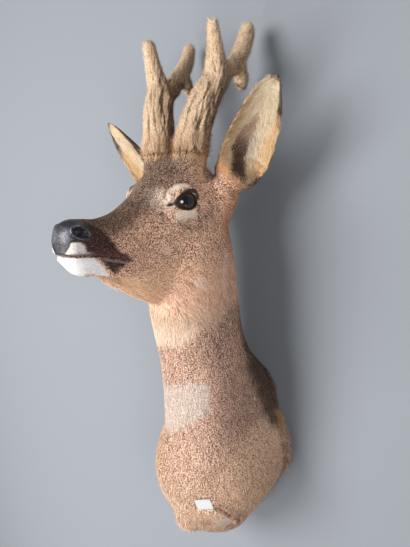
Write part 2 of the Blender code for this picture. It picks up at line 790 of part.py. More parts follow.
def label_plate(torso, spread):
    """Small blank tag that lies on the chest."""
    x, z = LABEL_SEAT
    found, place, facing, index = torso.ray_cast(Vector((x, -400.0, z)) * MM, Vector((0.0, 1.0, 0.0)))
    wide, tall, thick = (size / 2 + spread for size in LABEL_SIZE)
    points = [(x, y, z) for x in (-wide, wide) for y in (-tall, tall) for z in (-thick, thick)]
    faces = [(0, 1, 3, 2), (4, 6, 7, 5), (0, 4, 5, 1), (2, 3, 7, 6), (0, 2, 6, 4), (1, 5, 7, 3)]
    turn = facing.to_track_quat("Z", "Y").to_matrix() @ Matrix.Rotation(radians(LABEL_TURN), 3, "Z")
    return new_object("label", [turn @ Vector(p) + place / MM for p in points], faces)


# The whole mount

def main():
    clear_scene()
    coat = material("coat", (0.30, 0.19, 0.12), 0.85)
    face_coat = material("face_coat", (0.27, 0.17, 0.11), 0.8)
    ear_coat = material("ear_coat", (0.55, 0.40, 0.22), 0.85)
    velvet = material("velvet", (0.46, 0.29, 0.14), 0.9)
    glass = material("eye_glass", (0.012, 0.010, 0.012), 0.05)
    wood = material("board_wood", (0.25, 0.14, 0.07), 0.6)
    paper = material("label_paper", (0.85, 0.85, 0.84), 0.7)

    forms = [head_core(), trunk_core(), ball("crown", from_head([CROWN_SEAT])[0], CROWN_RADIUS)]
    for side in ("left", "right"):
        forms += [ear_mound(side), pedicle(side)]
    body = fuse("body", forms, VOXEL, 6)
    settle_throat(body)
    shape_face(body)
    thin_out(body, BODY_TRIANGLES)
    whole = keep_side(body, "whole", (0.0, -HIDE_EDGE, 0.0), (0.0, 1.0, 0.0))
    bpy.data.objects.remove(body, do_unlink=True)
    boolean(whole, board_recess(), "DIFFERENCE")
    head, below_head = saw(whole, NECK_CUT, NECK_CUT_WAY)
    neck, torso = saw(below_head, CHEST_CUT, (0.0, 0.0, 1.0))

    for side in ("left", "right"):
        cut_sockets(head, side)
        finish(ball("eye", eye_centre(side), EYE_RADIUS), "eye_" + side, glass)
        finish(ear(side), "ear_" + side, ear_coat)
        for name, piece in part_antler(antler(side), side).items():
            finish(piece, name, velvet)

    label = label_plate(torso, 0.0)
    boolean(torso, label_plate(torso, GAP), "DIFFERENCE")
    largest_body(head)
    finish(head, "head", face_coat)
    finish(neck, "neck", coat)
    finish(torso, "torso", coat)
    finish(board(), "board", wood)
    finish(label, "label", paper)


main()
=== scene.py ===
import json
import math
import bpy
import numpy as np
from mathutils import Matrix, Vector

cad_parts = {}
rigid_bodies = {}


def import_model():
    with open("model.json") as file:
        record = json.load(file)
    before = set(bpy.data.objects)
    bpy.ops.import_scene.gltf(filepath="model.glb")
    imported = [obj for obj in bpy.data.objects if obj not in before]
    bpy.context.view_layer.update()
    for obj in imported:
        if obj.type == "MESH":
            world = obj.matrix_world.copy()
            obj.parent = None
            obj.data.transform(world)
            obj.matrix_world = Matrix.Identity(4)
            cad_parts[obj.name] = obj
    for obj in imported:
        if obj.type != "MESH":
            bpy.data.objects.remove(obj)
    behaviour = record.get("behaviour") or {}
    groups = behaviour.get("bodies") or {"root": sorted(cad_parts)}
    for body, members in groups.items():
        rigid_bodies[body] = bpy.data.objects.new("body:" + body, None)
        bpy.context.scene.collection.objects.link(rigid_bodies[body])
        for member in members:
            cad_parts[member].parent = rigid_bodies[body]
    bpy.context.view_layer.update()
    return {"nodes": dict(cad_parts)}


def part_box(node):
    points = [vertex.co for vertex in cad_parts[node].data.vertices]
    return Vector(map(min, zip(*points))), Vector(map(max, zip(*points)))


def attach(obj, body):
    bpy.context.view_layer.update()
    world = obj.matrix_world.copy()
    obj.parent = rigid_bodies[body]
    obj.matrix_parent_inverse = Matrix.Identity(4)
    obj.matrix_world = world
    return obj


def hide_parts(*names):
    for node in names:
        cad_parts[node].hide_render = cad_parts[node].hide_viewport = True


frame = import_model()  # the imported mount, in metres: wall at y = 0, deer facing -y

mm = 0.001
scene = bpy.context.scene
random = np.random.default_rng(27)


# Camera

cameraSettings = {
    "place": (0.2703, -0.4783, 0.3282),
    "azimuth": 34.9,  # degrees round from straight in front
    "elevation": 10.3,
    "roll": 0.5,
    "lens": 27.54,
    "film": 36,  # mm along the tall side
    "nearest": 0.01,
}


def addCamera():
    azimuth, elevation, roll = (math.radians(cameraSettings[turn])
                                for turn in ("azimuth", "elevation", "roll"))
    right = Vector((math.cos(azimuth), math.sin(azimuth), 0))
    back = Vector((math.sin(azimuth) * math.cos(elevation), -math.cos(azimuth) * math.cos(elevation),
                   math.sin(elevation)))
    turn = Matrix((right, back.cross(right), back)).transposed()
    data = bpy.data.cameras.new("camera")
    data.lens = cameraSettings["lens"]
    data.sensor_fit = "VERTICAL"
    data.sensor_height = cameraSettings["film"]
    data.clip_start = cameraSettings["nearest"]
    made = bpy.data.objects.new("camera", data)
    scene.collection.objects.link(made)
    made.matrix_world = (Matrix.Translation(cameraSettings["place"]) @ turn.to_4x4()
                         @ Matrix.Rotation(roll, 4, "Z"))
    scene.camera = made


# Small tools

def smoothStep(value):
    t = np.clip(value, 0, 1)
    return t * t * (3 - 2 * t)


# from 0 to 1 over a width, as a value rises past a start
def rise(value, start, width):
    return smoothStep((value - start) / width)


# from 0 to 1 over a width, as a value falls below an end
def fall(value, end, width):
    return smoothStep((end - value) / width)


def bell(value, centre, width):
    return np.exp(-((value - centre) / width) ** 2)


# 1 at a place, fading with the distance
def nearPlace(spots, place, spread):
    return np.exp(-((spots - place) ** 2).sum(axis=1) / spread ** 2)


def mixed(first, second, share):
    return first * (1 - share) + second * share


def unit(vectors):
    return vectors / np.maximum(np.linalg.norm(vectors, axis=-1, keepdims=True), 1e-9)


# directions laid down on the surface
def laid(ways, normals):
    return unit(ways - normals * (ways * normals).sum(axis=1, keepdims=True))


def pick(things):
    for thing in bpy.context.view_layer.objects:
        thing.select_set(False)
    for thing in things:
        thing.select_set(True)
    if things:
        bpy.context.view_layer.objects.active = things[0]


def readArray(items, key, width, kind=np.float32):
    flat = np.empty(len(items) * width, kind)
    items.foreach_get(key, flat)
    return flat.reshape(-1, width)


def readPoints(thing):
    return readArray(thing.data.vertices, "co", 3).astype(float)


def readNormals(thing):
    return readArray(thing.data.vertex_normals, "vector", 3).astype(float)


def writePoints(thing, points):
    thing.data.vertices.foreach_set("co", points.astype(np.float32).ravel())
    thing.data.update()


# loose triangles merged, and pushed out a little so that neighbours fuse
def copyNode(name, swell):
    made = frame["nodes"][name].copy()
    made.data = made.data.copy()
    made.name = name + "Copy"
    made.parent = None
    for key in list(made.keys()):
        del made[key]
    scene.collection.objects.link(made)
    pick([made])
    bpy.ops.object.mode_set(mode="EDIT")
    bpy.ops.mesh.select_all(action="SELECT")
    bpy.ops.mesh.remove_doubles(threshold=0.01 * mm)
    bpy.ops.object.mode_set(mode="OBJECT")
    if "custom_normal" in made.data.attributes:
        made.data.attributes.remove(made.data.attributes["custom_normal"])
    made.data.update()
    writePoints(made, readPoints(made) + readNormals(made) * swell)
    return made


# some parts as one closed mesh of even faces
def fuse(parts, name, voxel):
    pick(parts)
    bpy.ops.object.join()
    made = bpy.context.active_object
    made.name = name
    remesh = made.modifiers.new("fuse", "REMESH")
    remesh.mode = "VOXEL"
    remesh.voxel_size = voxel
    applyAll(made)
    return made


def applyAll(thing):
    pick([thing])
    for modifier in list(thing.modifiers):
        bpy.ops.object.modifier_apply(modifier=modifier.name)


# smoothed where the weights are high, in steps of a twentieth
def settle(thing, rounds, weights):
    group = thing.vertex_groups.new(name="settle")
    levels = np.round(weights * 20).astype(int)
    for level in range(1, 21):
        members = np.flatnonzero(levels == level).tolist()
        if members:
            group.add(members, level / 20, "REPLACE")
    relax = thing.modifiers.new("settle", "SMOOTH")
    relax.factor = 0.5
    relax.iterations = rounds
    relax.vertex_group = group.name
    applyAll(thing)
    thing.vertex_groups.clear()


# one more cut across each edge of the faces near a place
def refine(thing, near):
    chosen = near(readArray(thing.data.polygons, "center", 3).astype(float))
    pick([thing])
    bpy.ops.object.mode_set(mode="EDIT")
    bpy.ops.mesh.select_mode(type="FACE")
    bpy.ops.mesh.select_all(action="DESELECT")
    bpy.ops.object.mode_set(mode="OBJECT")
    thing.data.polygons.foreach_set("select", chosen)
    bpy.ops.object.mode_set(mode="EDIT")
    bpy.ops.mesh.subdivide(number_cuts=1, smoothness=0)
    bpy.ops.object.mode_set(mode="OBJECT")


# The head's own frame: mm back from the nose, to its left, up

headPlace = {"nose": (-31.4, -262.8, 278.0), "yaw": -1.7, "roll": -1.4}


def headAxes():
    turn = (Matrix.Rotation(math.radians(headPlace["yaw"]), 3, "Z")
            @ Matrix.Rotation(math.radians(headPlace["roll"]), 3, "Y"))
    return np.array(turn) @ np.array([[0, 1, 0], [1, 0, 0], [0, 0, 1]])


def toHead(points):
    return (np.atleast_2d(points) / mm - headPlace["nose"]) @ headAxes()


def fromHead(spots):
    return (np.atleast_2d(spots) @ headAxes().T + headPlace["nose"]) * mm


# places in the head's frame, those of its right side turned over to the left
def mirrored(points):
    spots = toHead(points)
    side = np.where(spots[:, 1] < 0, -1, 1)
    spots[:, 1] *= side
    return spots, side


eyeSettings = {
    "seat": (127.0, 29.2, 44.5),
    "radius": 14.5,
    "facing": (-0.34, 0.92, 0.16),
    "opening": (12.2, 7.9),  # half length and half height
    "middle": (1.6, -1.2),  # the opening's, along and across
    "slant": 2.8,
    "lid": 1.7,
    "pupil": (0.50, 0.30),  # half length and half height, as shares of the radius
    "iris": 0.82,
}

earSettings = {
    "roots": {"left": (181, 52, 66), "right": (177, 56, 60)},
    "tips": {"left": (168, 116, 160), "right": (165, 120, 141)},
    "facing": (-0.85, 0.51, -0.15),
    # shares of the length, and half widths to the inner and the outer edge
    "along": (0, 0.1, 0.25, 0.45, 0.65, 0.82, 0.94, 1),
    "inner": (17.5, 20.5, 25, 26.5, 24, 19, 12.5, 6),
    "outer": (20, 27, 29, 25.5, 20.5, 14, 7.5, 3),
}

antlerSettings = {
    "root": (152, 22.5, 96),
    "way": (4, 1.5, 32),
    "lengths": ("_beam", "_front_tine", "_upper_beam", "_rear_tine"),
    # mm taken off all round the upper fork and off the rear tines
    "slim": {"left": (2.0, 1.2), "right": (0.3, 1.6)},
    "spur": ((229, 39, 181), 9, 3.4),  # thicker velvet under the left rear tine: place, spread and height
    "swell": 0.0004,
    "voxel": 0.0010,
    "rounds": 8,
    "ridges": 2.1,  # mm between the wrinkles' feet and tops
}


# along the opening, across it and out of it, for the left eye
def eyeAxes():
    out = unit(np.array(eyeSettings["facing"]))
    rear = np.array([1, 0, math.tan(math.radians(eyeSettings["slant"]))])
    rear = unit(rear - out * (rear @ out))
    across = np.cross(rear, out)
    return rear, across if across[2] > 0 else -across, out


# 1 at the edge of the opening between the lids
def openingShare(along, across):
    (length, height), (ahead, above) = eyeSettings["opening"], eyeSettings["middle"]
    return np.hypot((along - ahead) / length, (across - above) / height)


# a place's run along the opening, across it and out of it
def eyeSight(spots):
    return ((spots - eyeSettings["seat"]) @ axis for axis in eyeAxes())


# share of the ear's length, mm across it and mm out of its cup, with the ear's axes
def earSight(spots, side):
    sign = 1 if side == "left" else -1
    root, tip, facing = (np.array(place) * (1, sign, 1) for place in
                         (earSettings["roots"][side], earSettings["tips"][side], earSettings["facing"]))
    length = np.linalg.norm(tip - root)
    axis = (tip - root) / length
    facing = unit(facing - axis * (facing @ axis))
    across = np.cross(axis, facing) * sign
    near = spots - root
    return near @ axis / length, near @ across, near @ facing, axis, across, facing


def besideEar(wide, deep):
    return (np.abs(wide) < 34) & (np.abs(deep) < 28)


# 1 on an ear, 0 on the head
def earShare(spots):
    share = np.zeros(len(spots))
    for side in ("left", "right"):
        along, wide, deep = earSight(spots, side)[:3]
        share = np.maximum(share, rise(along, 0, 0.1) * besideEar(wide, deep) * (along < 1.1))
    return share


# Markings and painted light and shade, shared by the skin and the coat

# some paints stand in for light and shade: a painted shadow on the shoulder, painted light on the lower
# flank, painted highlights on the nose pad, and painted shade in creases, in a notch by the ear, in the ears'
# hollows and on the antlers' sides away from the light
coatPaint = {
    "cheek": (240, 186, 158), "neck": (190, 148, 131), "chest": (188, 151, 124), "sand": (180, 142, 98),
    "crown": (55, 35, 30), "golden": (216, 172, 124), "halo": (232, 208, 190), "arc": (254, 232, 208),
    "underEye": (255, 234, 212), "creaseShade": (92, 58, 44), "muzzle": (56, 28, 26), "lipBrown": (118, 70, 64),
    "lipWhite": (226, 218, 212), "lipGrey": (160, 150, 150), "chin": (252, 250, 248), "jaw": (255, 205, 163),
    "pink": (224, 174, 154), "pad": (25, 29, 40), "padPaintedHighlight": (104, 110, 126), "rim": (18, 14, 15),
    "lid": (52, 38, 40), "throat": (208, 178, 150), "patch": (202, 188, 176), "side": (184, 142, 126),
    "edge": (186, 138, 90), "bald": (252, 214, 198), "russet": (206, 134, 84), "low": (224, 184, 152),
    "flankPaintedLight": (255, 212, 178), "nape": (120, 84, 74), "shade": (36, 24, 22), "rust": (156, 92, 56),
    "earCream": (204, 184, 153), "earGold": (204, 158, 104), "earHollowShade": (60, 40, 30),
    "earPink": (132, 94, 78), "earGrey": (190, 172, 154), "earBack": (84, 62, 50), "earRim": (22, 15, 15),
    "earBase": (214, 150, 102),
    "velvet": (242, 212, 176), "velvetShadeInner": (164, 118, 82), "velvetShadeRear": (116, 76, 50),
    "velvetShadeEdge": (58, 36, 26), "velvetWrinkleShade": (88, 56, 36), "velvetFoot": (200, 148, 98),
    "velvetPatch": (206, 162, 116),
}


def paint(name):
    share = np.array(coatPaint[name]) / 255
    return np.where(share <= 0.04045, share / 12.92, ((share + 0.055) / 1.055) ** 2.4)


def painted(points, name):
    return np.tile(paint(name), (len(points), 1))


# lays a named paint, or an array of colours, over the colours so far
def over(colour, share, tint):
    tint = paint(tint) if isinstance(tint, str) else tint
    colour += (tint - colour) * share[:, None]


def wobble(points, wave):
    x, y, z = (points * (2 * math.pi / (wave * mm))).T
    first = np.sin(x + 1.7 * np.sin(0.7 * y + 0.4) + 0.9 * z)
    second = np.sin(1.9 * y - 1.3 * z + 1.1 * np.sin(1.1 * x))
    return 0.5 * (first + second)


def blob(spots, centre, radii, rough=0, edge=0.35):
    reach = np.sqrt((((spots - centre) / radii) ** 2).sum(axis=1))
    return 1 - rise(reach + rough, 1 - edge, 2 * edge)


def awayFromPath(spots, path):
    nearest = np.full(len(spots), 1e9)
    for start, end in zip(path[:-1], path[1:]):
        run = np.subtract(end, start)
        t = np.clip((spots - start) @ run / (run @ run), 0, 1)
        nearest = np.minimum(nearest, np.linalg.norm(spots - start - t[:, None] * run, axis=1))
    return nearest


def mouthHeight(back):
    return -9 * rise(back, 12, 57) - 0.5


# bare nose pad
def padShare(spots):
    back, left, up = spots.T
    rear = np.interp(up, [0, 13, 14.2, 17.6, 22.7, 26.4, 29, 31], [7, 8, 17, 20.8, 22.2, 20.4, 19.9, 16.5])
    half = np.interp(up, [2.4, 4.1, 6.5, 9.2, 11.8, 13.2, 14.2], [7, 8.8, 10.8, 12.4, 13, 15, 40])
    inside = np.minimum(rear - back, half - left) / 1.4
    return smoothStep(inside + 0.5) * rise(up, mouthHeight(back), 1.5)


chestFold = [(39, -125, -17), (45, -119, -23), (50, -109, -34), (51, -88, -52), (46, -76, -68)]
chestBald = ((38, -102, -56), (11, 19, 20))  # middle and radii
sideFold = [(68, -42, 40), (73, -40, 24), (76, -42, 10), (76, -53, -4)]
jawFringe = [(30, 2, -22), (56, 6, -34), (88, 14, -50), (112, 14, -62)]
cheekBand = [(173, 53, 12), (166, 58, -6), (160, 60, -24), (158, 61, -44)]
earCrease = [(164, 47, 70), (168, 55, 61), (172, 62, 50)]
browArc = [(105, 29, 49), (109, 29.7, 54.6), (116.8, 32.8, 58.9), (127, 36.4, 61.5)]
eyeCreases = (
    # path, half width and strength
    ([(102, 25.5, 41), (105, 27.2, 48), (108.9, 26.6, 56.5), (117.4, 29.1, 62.1), (126.6, 34.5, 64.6),
      (136.4, 39.6, 62)], 2.3, 0.95),
    ([(103, 27, 41), (97.4, 27.8, 32.3), (100, 31, 22)], 2.8, 0.9),
    ([(109.8, 39.4, 24.7), (127.4, 44.1, 17.2), (142.2, 49, 22.3), (147.1, 46.6, 38)], 2.6, 0.95),
    ([(139, 44, 42), (139.5, 44.8, 33), (136, 45.7, 24)], 3.0, 0.84),
    ([(153, 49, 30), (154, 46, 44), (156, 43.6, 54)], 3.4, 0.78),
)


# colour, strength of the dark and light flecks, bare and wet skin, and the ears' insides at each place
def coatLook(points, normals):
    whole = toHead(points)
    spots, side = mirrored(points)
    world = points / mm
    back, left, up = spots.T
    patchy, fine = wobble(points, 17), wobble(points, 5)
    rough = 0.14 * patchy + 0.1 * fine
    onHead = rise(up, -78, 30)

    # neck and chest
    x, y, z = world.T
    body = painted(points, "neck")
    over(body, fall(z, 70, 90), "chest")
    over(body, 0.75 * fall(x - 6 * patchy, -12, 30) * fall(z, 96, 40), "sand")
    over(body, 0.5 * rise(y + 6 * patchy, -108, 34) * rise(z, 50, 40), "side")
    over(body, 0.8 * fall(z - 5 * patchy, -4, 34), "low")
    # painted light: the lower chest's side that faces away from the key light is made lighter
    over(body, 0.85 * rise(x, 36, 24) * fall(z, 76, 20), "flankPaintedLight")
    # painted shadow, nearly black, on the shoulder and the rear of the neck, over a coat that is a little
    # darker there
    paintedShadowEdge = np.interp(z, [40, 46, 72, 103, 135, 165, 200, 240], [-22, -38, -50, -62, -82, -86, -82, -78])
    paintedShadow = rise(y + 5 * patchy, paintedShadowEdge - 6, 22) * rise(x, -20, 40) * rise(z, 34, 22)
    over(body, 0.93 * paintedShadow, "shade")
    throatFoot = np.interp(x, [-31, 8, 22, 33, 38, 45], [166, 180, 194, 203, 218, 240])
    nape = fall(z, throatFoot + 2, 8) * rise(z + 8 * patchy, throatFoot - 66, 44)
    over(body, 0.42 * nape * rise(x + 4 * patchy, -2, 30) * (y < -70), "nape")
    throat = rise(z + 3.5 * patchy, throatFoot - 2.5, 5) * fall(y, -100, 12) * fall(x, 44, 8)
    over(body, 0.9 * throat, "throat")
    over(body, 0.5 * throat * fall(z, 208, 22), "halo")
    over(body, 0.45 * throat * rise(x, 18, 14), "pink")
    high = np.interp(x, [-23, 14, 31], [120, 136, 134])
    low = np.interp(x, [-24, -15, 15, 30], [58, 64, 84, 101])
    patch = fall(z - 3 * patchy, high + 3, 6) * rise(z + 5 * patchy, low - 6, 12)
    patch = patch * fall(x - 1.5 * patchy, 34.5, 5) * rise(x, -42, 14) * (y < -100)
    over(body, 0.92 * patch, "patch")
    # golden fringe along the wall, held back under the painted shadow high on the shoulder
    over(body, 0.85 * rise(y + 4 * patchy, -24, 10) * (1 - paintedShadow * rise(z, 58, 10)), "edge")
    over(body, 0.75 * blob(world, (41, -80, -72), (9, 16, 14), rough), "rust")
    over(body, 0.6 * blob(world, (23, -118, -50), (11, 12, 9), rough, 0.4), "rust")
    bald = blob(world, *chestBald, rough, 0.25)
    over(body, 0.8 * bald, "patch")
    over(body, 0.95 * fall(awayFromPath(world, chestFold), 3.6, 1.8), "rust")
    # painted shade in a crease of the hide on the chest's side near the wall
    over(body, 0.7 * fall(awayFromPath(world, sideFold), 1.6, 1.2), "creaseShade")
    fleck = 1 - 0.75 * np.maximum.reduce([0.9 * throat, 0.75 * patch, 0.7 * bald, 0.9 * paintedShadow])

    # cheek, forehead and jaw
    head = painted(points, "cheek")
    over(head, 0.6 * fall(up, -18, 24) * rise(back, 90, 30), "neck")
    crownTop = np.interp(back, [0, 24, 40, 60, 80, 100, 120, 138, 155], [19, 31, 31, 36, 47, 62, 79, 92, 98])
    crown = fall(crownTop - up - 3 * patchy, 27, 18) * fall(back, 176, 20)
    over(head, 0.9 * crown, "crown")
    golden = rise(footShare(spots) + 0.35 * patchy + 0.2 * fine, 0.25, 0.5)
    over(head, 0.75 * golden, "golden")
    over(head, 0.5 * blob(spots, (151, 37, 82), (15, 10, 15), 1.6 * rough, 0.5), "golden")
    pink = blob(spots, (82, 27, -10), (22, 12, 16), rough, 0.5)
    over(head, 0.75 * pink, "pink")
    lowCheek = fall(up - 5 * patchy, 4, 34) * rise(back, 56, 20)
    over(head, 0.6 * lowCheek, "jaw")
    reach = np.interp(back, [20, 40, 60, 110], [7, 12, 20, 20])
    sandy = fall(awayFromPath(spots, jawFringe) - 3 * patchy, reach, 9)
    over(head, 0.9 * sandy, "jaw")
    jowlTop = np.interp(back, [60, 85, 103, 115, 124, 135, 148, 170], [-22, -29, -36, -35, -31, -22, -12, -8])
    jowl = fall(up - 4 * patchy, jowlTop + 4, 18) * rise(back, 66, 16)
    jowlPaint = painted(points, "jaw")
    over(jowlPaint, 0.6 * rise(back, 92, 24), "pink")
    over(head, 0.85 * jowl, jowlPaint)
    over(head, 0.8 * fall(awayFromPath(spots, cheekBand) - 1.5 * patchy, 5.5, 5), "bald")
    balds = np.maximum(blob(spots, (98.6, 33.7, -1.7), (5.5, 9, 4.5), rough),
                       blob(spots, (128, 52, -36), (5.5, 9, 5.5), rough, 0.4))
    over(head, 0.75 * balds, "bald")
    over(head, 0.85 * blob(spots, (176, 64, 56), (17, 16, 17), rough, 0.4), "earBase")
    rear = blob(spots, (177, 56, 26), (12, 16, 32), rough, 0.4)
    over(head, 0.75 * rear, "russet")
    # painted shade, nearly black, in the notch between the ear's foot and the antler
    notchShade = blob(spots, (166, 42, 78), (11, 9, 12), rough, 0.3)
    over(head, 0.95 * notchShade, "earRim")
    # painted shade in the crease at the front of the ear's foot
    over(head, 0.8 * fall(awayFromPath(spots, earCrease), 2.8, 1.6), "creaseShade")

    # round the eye
    along, across, out = eyeSight(spots)
    flat = np.column_stack([along, across])
    near = (out > -14) & (np.hypot(along, across) < 60)
    halo = blob(flat, (-23, 3), (12.5, 12), rough, 0.5) * near
    over(head, 0.8 * halo, "halo")
    arc = fall(awayFromPath(spots, browArc) - fine, 4.8, 2.6)
    over(head, 0.95 * arc, "arc")
    under = fall(across - fine, -8, 2.5) * rise(across + patchy, -21, 6) * near
    under = under * fall(np.abs(along + 2), 17, 6)
    over(head, 0.95 * under, "underEye")
    # painted shade in the skin's creases round the eye
    for path, width, strength in eyeCreases:
        over(head, strength * fall(awayFromPath(spots, path), width, 1.2), "creaseShade")

    # muzzle and chin
    lip = mouthHeight(back)
    ridge = np.interp(back, [16, 20, 24, 34, 40, 48, 58, 65], [31, 30, 28.5, 24, 15.3, 4.7, -4.1, -10])
    brown = fall(up - 1.5 * patchy, ridge, 4) * fall(back, 67, 4) * rise(up, lip, 1)
    over(head, brown, "muzzle")
    nearLip = brown * fall(up, lip + 10, 7) * rise(back, 18, 6)
    over(head, nearLip * (0.3 + 0.25 * patchy + 0.15 * fine), "lipBrown")
    below = fall(up, lip - 0.6, 1.2) * (back < 80)
    ends = np.interp(back, [46, 51.7, 53.7, 60, 66], [-23.5, -17, -13.5, -11.5, -9.5])
    starts = 33 + 1.16 * (-10 - up)
    chinBrown = below * rise(back + patchy, starts, 3) * rise(up + patchy, ends, 3)
    over(head, chinBrown * fall(back, 68, 4), "muzzle")
    chinLow = np.where(back < 20, -24, -20 - 0.15 * (back - 20))
    chin = below * fall(back - 1.5 * patchy, starts, 3) * rise(up + 1.5 * patchy, chinLow, 4)
    over(head, chin, "chin")
    lipEnd = np.interp(up, [2, 5, 9, 12], [18, 15, 13.5, 11.5])
    lipPatch = fall(back - 1.2 * patchy, lipEnd, 3) * fall(up, 12.8, 1.6) * rise(up, 1.6, 1.6)
    over(head, lipPatch, "lipWhite")
    edge = fall(np.abs(up - lip - 1.6), 3.4, 1.6) * fall(back, 40, 16) * (back > 5)
    over(head, 0.45 * edge * fall(back, 24, 8), "lipGrey")
    pad, wing = padShare(spots), nostrilRing(spots)
    over(head, pad, "pad")
    # painted highlights on the nose pad: a band along each nostril's wing and a patch at its front
    over(head, 0.4 * pad * bell(wing, 1.22, 0.14), "padPaintedHighlight")
    over(head, 0.5 * pad * blob(spots, (3, 8, 17.5), (9, 5.5, 6), rough, 0.5), "padPaintedHighlight")
    over(head, 0.85 * pad * np.maximum(fall(wing, 0.6, 0.25), bell(wing, 0.96, 0.1)), "rim")
    lipLine = fall(np.abs(up - lip), 1, 0.7) * fall(back, 66, 4) * (left < 40)
    over(head, 0.9 * lipLine, "rim")
    lowLip = fall(np.abs(up - lip + 2.2), 1, 0.7) * fall(back, 62, 6) * rise(back, 28, 6) * (left < 40)
    over(head, 0.7 * lowLip, "lipGrey")

    # lids, rims and tear pit
    ring = openingShare(along, across)
    upperLid = awayFromPath(flat, [(-6, 6.6), (2, 8.6), (9, 9), (15.5, 8), (17, 2)])
    upperLid = fall(upperLid, np.interp(along, [-8, 0, 9, 16], [1.4, 2.1, 3, 3.4]), 1.2) * (out > -4)
    lid = np.maximum(fall(ring, 1.22, 0.08) * (out > 0), upperLid)
    over(head, lid, "lid")
    corner = fall(awayFromPath(flat, [(-11, -0.6), (-13.5, -1.2)]), 1.5, 0.9)
    tear = fall(awayFromPath(flat, [(-15.4, -1.6), (-17.6, -2.2)]), 2.7, 1.2) * (out > -9)
    rim = np.maximum.reduce([fall(ring, 1.15, 0.06) * (out > 0), corner, tear])
    over(head, rim, "rim")
    plain = np.maximum.reduce([
        chin, lipPatch, pad, lid, rim, brown, chinBrown, 0.8 * balds, 0.8 * jowl, 0.95 * notchShade, 0.6 * golden,
        0.5 * halo, 0.85 * arc, 0.85 * under, 0.5 * lowCheek, 0.3 * pink, 0.5 * rear, 0.75 * sandy,
        (0.45 + 0.25 * fall(back, 96, 20)) * crown])
    fleck = mixed(fleck, 1.15 - plain, onHead)
    colour = mixed(body, head, onHead[:, None])

    # ears
    inEars = np.zeros(len(points))
    for name in ("left", "right"):
        share, wide, deep, axis, spread, facing = earSight(whole, name)
        here = rise(share, 0, 0.1) * besideEar(wide, deep)
        way = (normals @ headAxes()) @ np.array([axis, spread, facing]).T
        cup = rise(0.6 * way[:, 2] - way[:, 1] * wide / 26, -0.1, 0.3) * here
        inEars = np.maximum(inEars, cup)
        ear = painted(points, "earBack")
        over(ear, cup, "earCream")
        over(ear, 0.7 * cup * rise(np.abs(wide + 2) + 3 * patchy, 13, 8), "earGold")
        front = np.interp(share, [0.06, 0.11, 0.17, 0.26, 0.35, 0.44, 0.53, 0.67],
                          [2, 5, 9, 12, 13, 11.5, 7, 3])
        behind = np.interp(share, [0.06, 0.08, 0.16, 0.23, 0.31, 0.41, 0.53, 0.67],
                           [-20, -19, -15, -9, -6.5, -5.5, -4, -2])
        hollow = fall(wide - 0.6 * fine, front + 1.5, 2.5) * rise(wide + fine, behind - 2, 5)
        hollow = cup * hollow * fall(share, 0.74, 0.25) * rise(share, 0.05, 0.04)
        # the hollow's pinkish skin, with painted shade deepening to a dark core low in the cup
        core = fall(share - 0.03 * fine, 0.42, 0.2)
        over(ear, hollow * (0.75 + 0.25 * core), "earPink")
        over(ear, hollow * core, "earHollowShade")
        veil = cup * rise(wide, behind - 7, 3) * fall(wide - fine, behind + 3.5, 3)
        over(ear, 0.8 * veil * rise(share, 0.18, 0.08) * fall(share, 0.5, 0.1), "earGrey")
        inner = np.interp(share, earSettings["along"], earSettings["inner"])
        outer = np.interp(share, earSettings["along"], earSettings["outer"])
        fromRim = np.where(wide > 0, inner, outer) - np.abs(wide)
        upEar = share + 0.04 * patchy
        darkRim = fall(fromRim - 0.8 * fine, 2.8, 1.6) * np.where(wide > 0, rise(upEar, 0.8, 0.12),
                                                                  rise(upEar, 0.56, 0.16))
        over(ear, 0.95 * np.maximum(darkRim, rise(share + 0.03 * fine, 0.93, 0.05)), "earRim")
        rootEnd = np.interp(wide, [-24, -10, 6], [0.07, 0.13, 0.2])
        over(ear, 0.9 * fall(share - 0.04 * patchy, rootEnd, 0.12) * (1 - hollow), "earBase")
        colour = mixed(colour, ear, here[:, None])
    return {
        "marking": colour,
        "fleck": fleck * (1 - earShare(whole) * (0.45 + 0.4 * inEars)),
        "bare": np.maximum.reduce([pad, rim, lid, lipLine, 0.5 * balds]),
        "wet": np.maximum.reduce([pad, rim, 0.4 * lid, 0.6 * lipLine]),
        "inEars": inEars,
    }


# Lie and size of the coat

def lieOfCoat(points, normals, inEars):
    spots, side = mirrored(points)
    axes = headAxes()
    back, left, up = spots.T
    turn = np.maximum.reduce([rise(back, 92, 70) * fall(up, 66, 50), rise(back, 172, 26), fall(up, -62, 22)])
    way = mixed(axes[:, 0], np.array([0, 0.14, -1]), turn[:, None])

    # hair parts round the eye, and stands up round the antlers' feet
    rear, across, out = eyeAxes()
    along, upward, high = eyeSight(spots)
    away = unit(along[:, None] * rear + upward[:, None] * across)
    away[:, 1] *= side
    nearLids = bell(np.hypot(along, upward), 15, 8) * (high > -6)
    way = way + (1.1 * nearLids)[:, None] * (away @ axes.T)
    way = way + (3 * footShare(spots))[:, None] * (unit(np.array(antlerSettings["way"])) @ axes.T)

    for name in ("left", "right"):
        share, wide, deep, axis, spread, facing = earSight(toHead(points), name)
        here = rise(share, -0.04, 0.12) * besideEar(wide, deep)
        inner = 0.9 * axis - 0.4 * np.sign(wide)[:, None] * spread + 0.1 * facing
        way = mixed(way, mixed(axis, inner, inEars[:, None]) @ axes.T, here[:, None])
    return laid(way, normals)


# near the foot of an antler
def footShare(spots):
    way = unit(np.array(antlerSettings["way"]))
    near = spots - antlerSettings["root"]
    along = near @ way
    aside = np.linalg.norm(near - along[:, None] * way, axis=1)
    return rise(along, -22, 18) * fall(aside, 26, 6) * (along < 12)


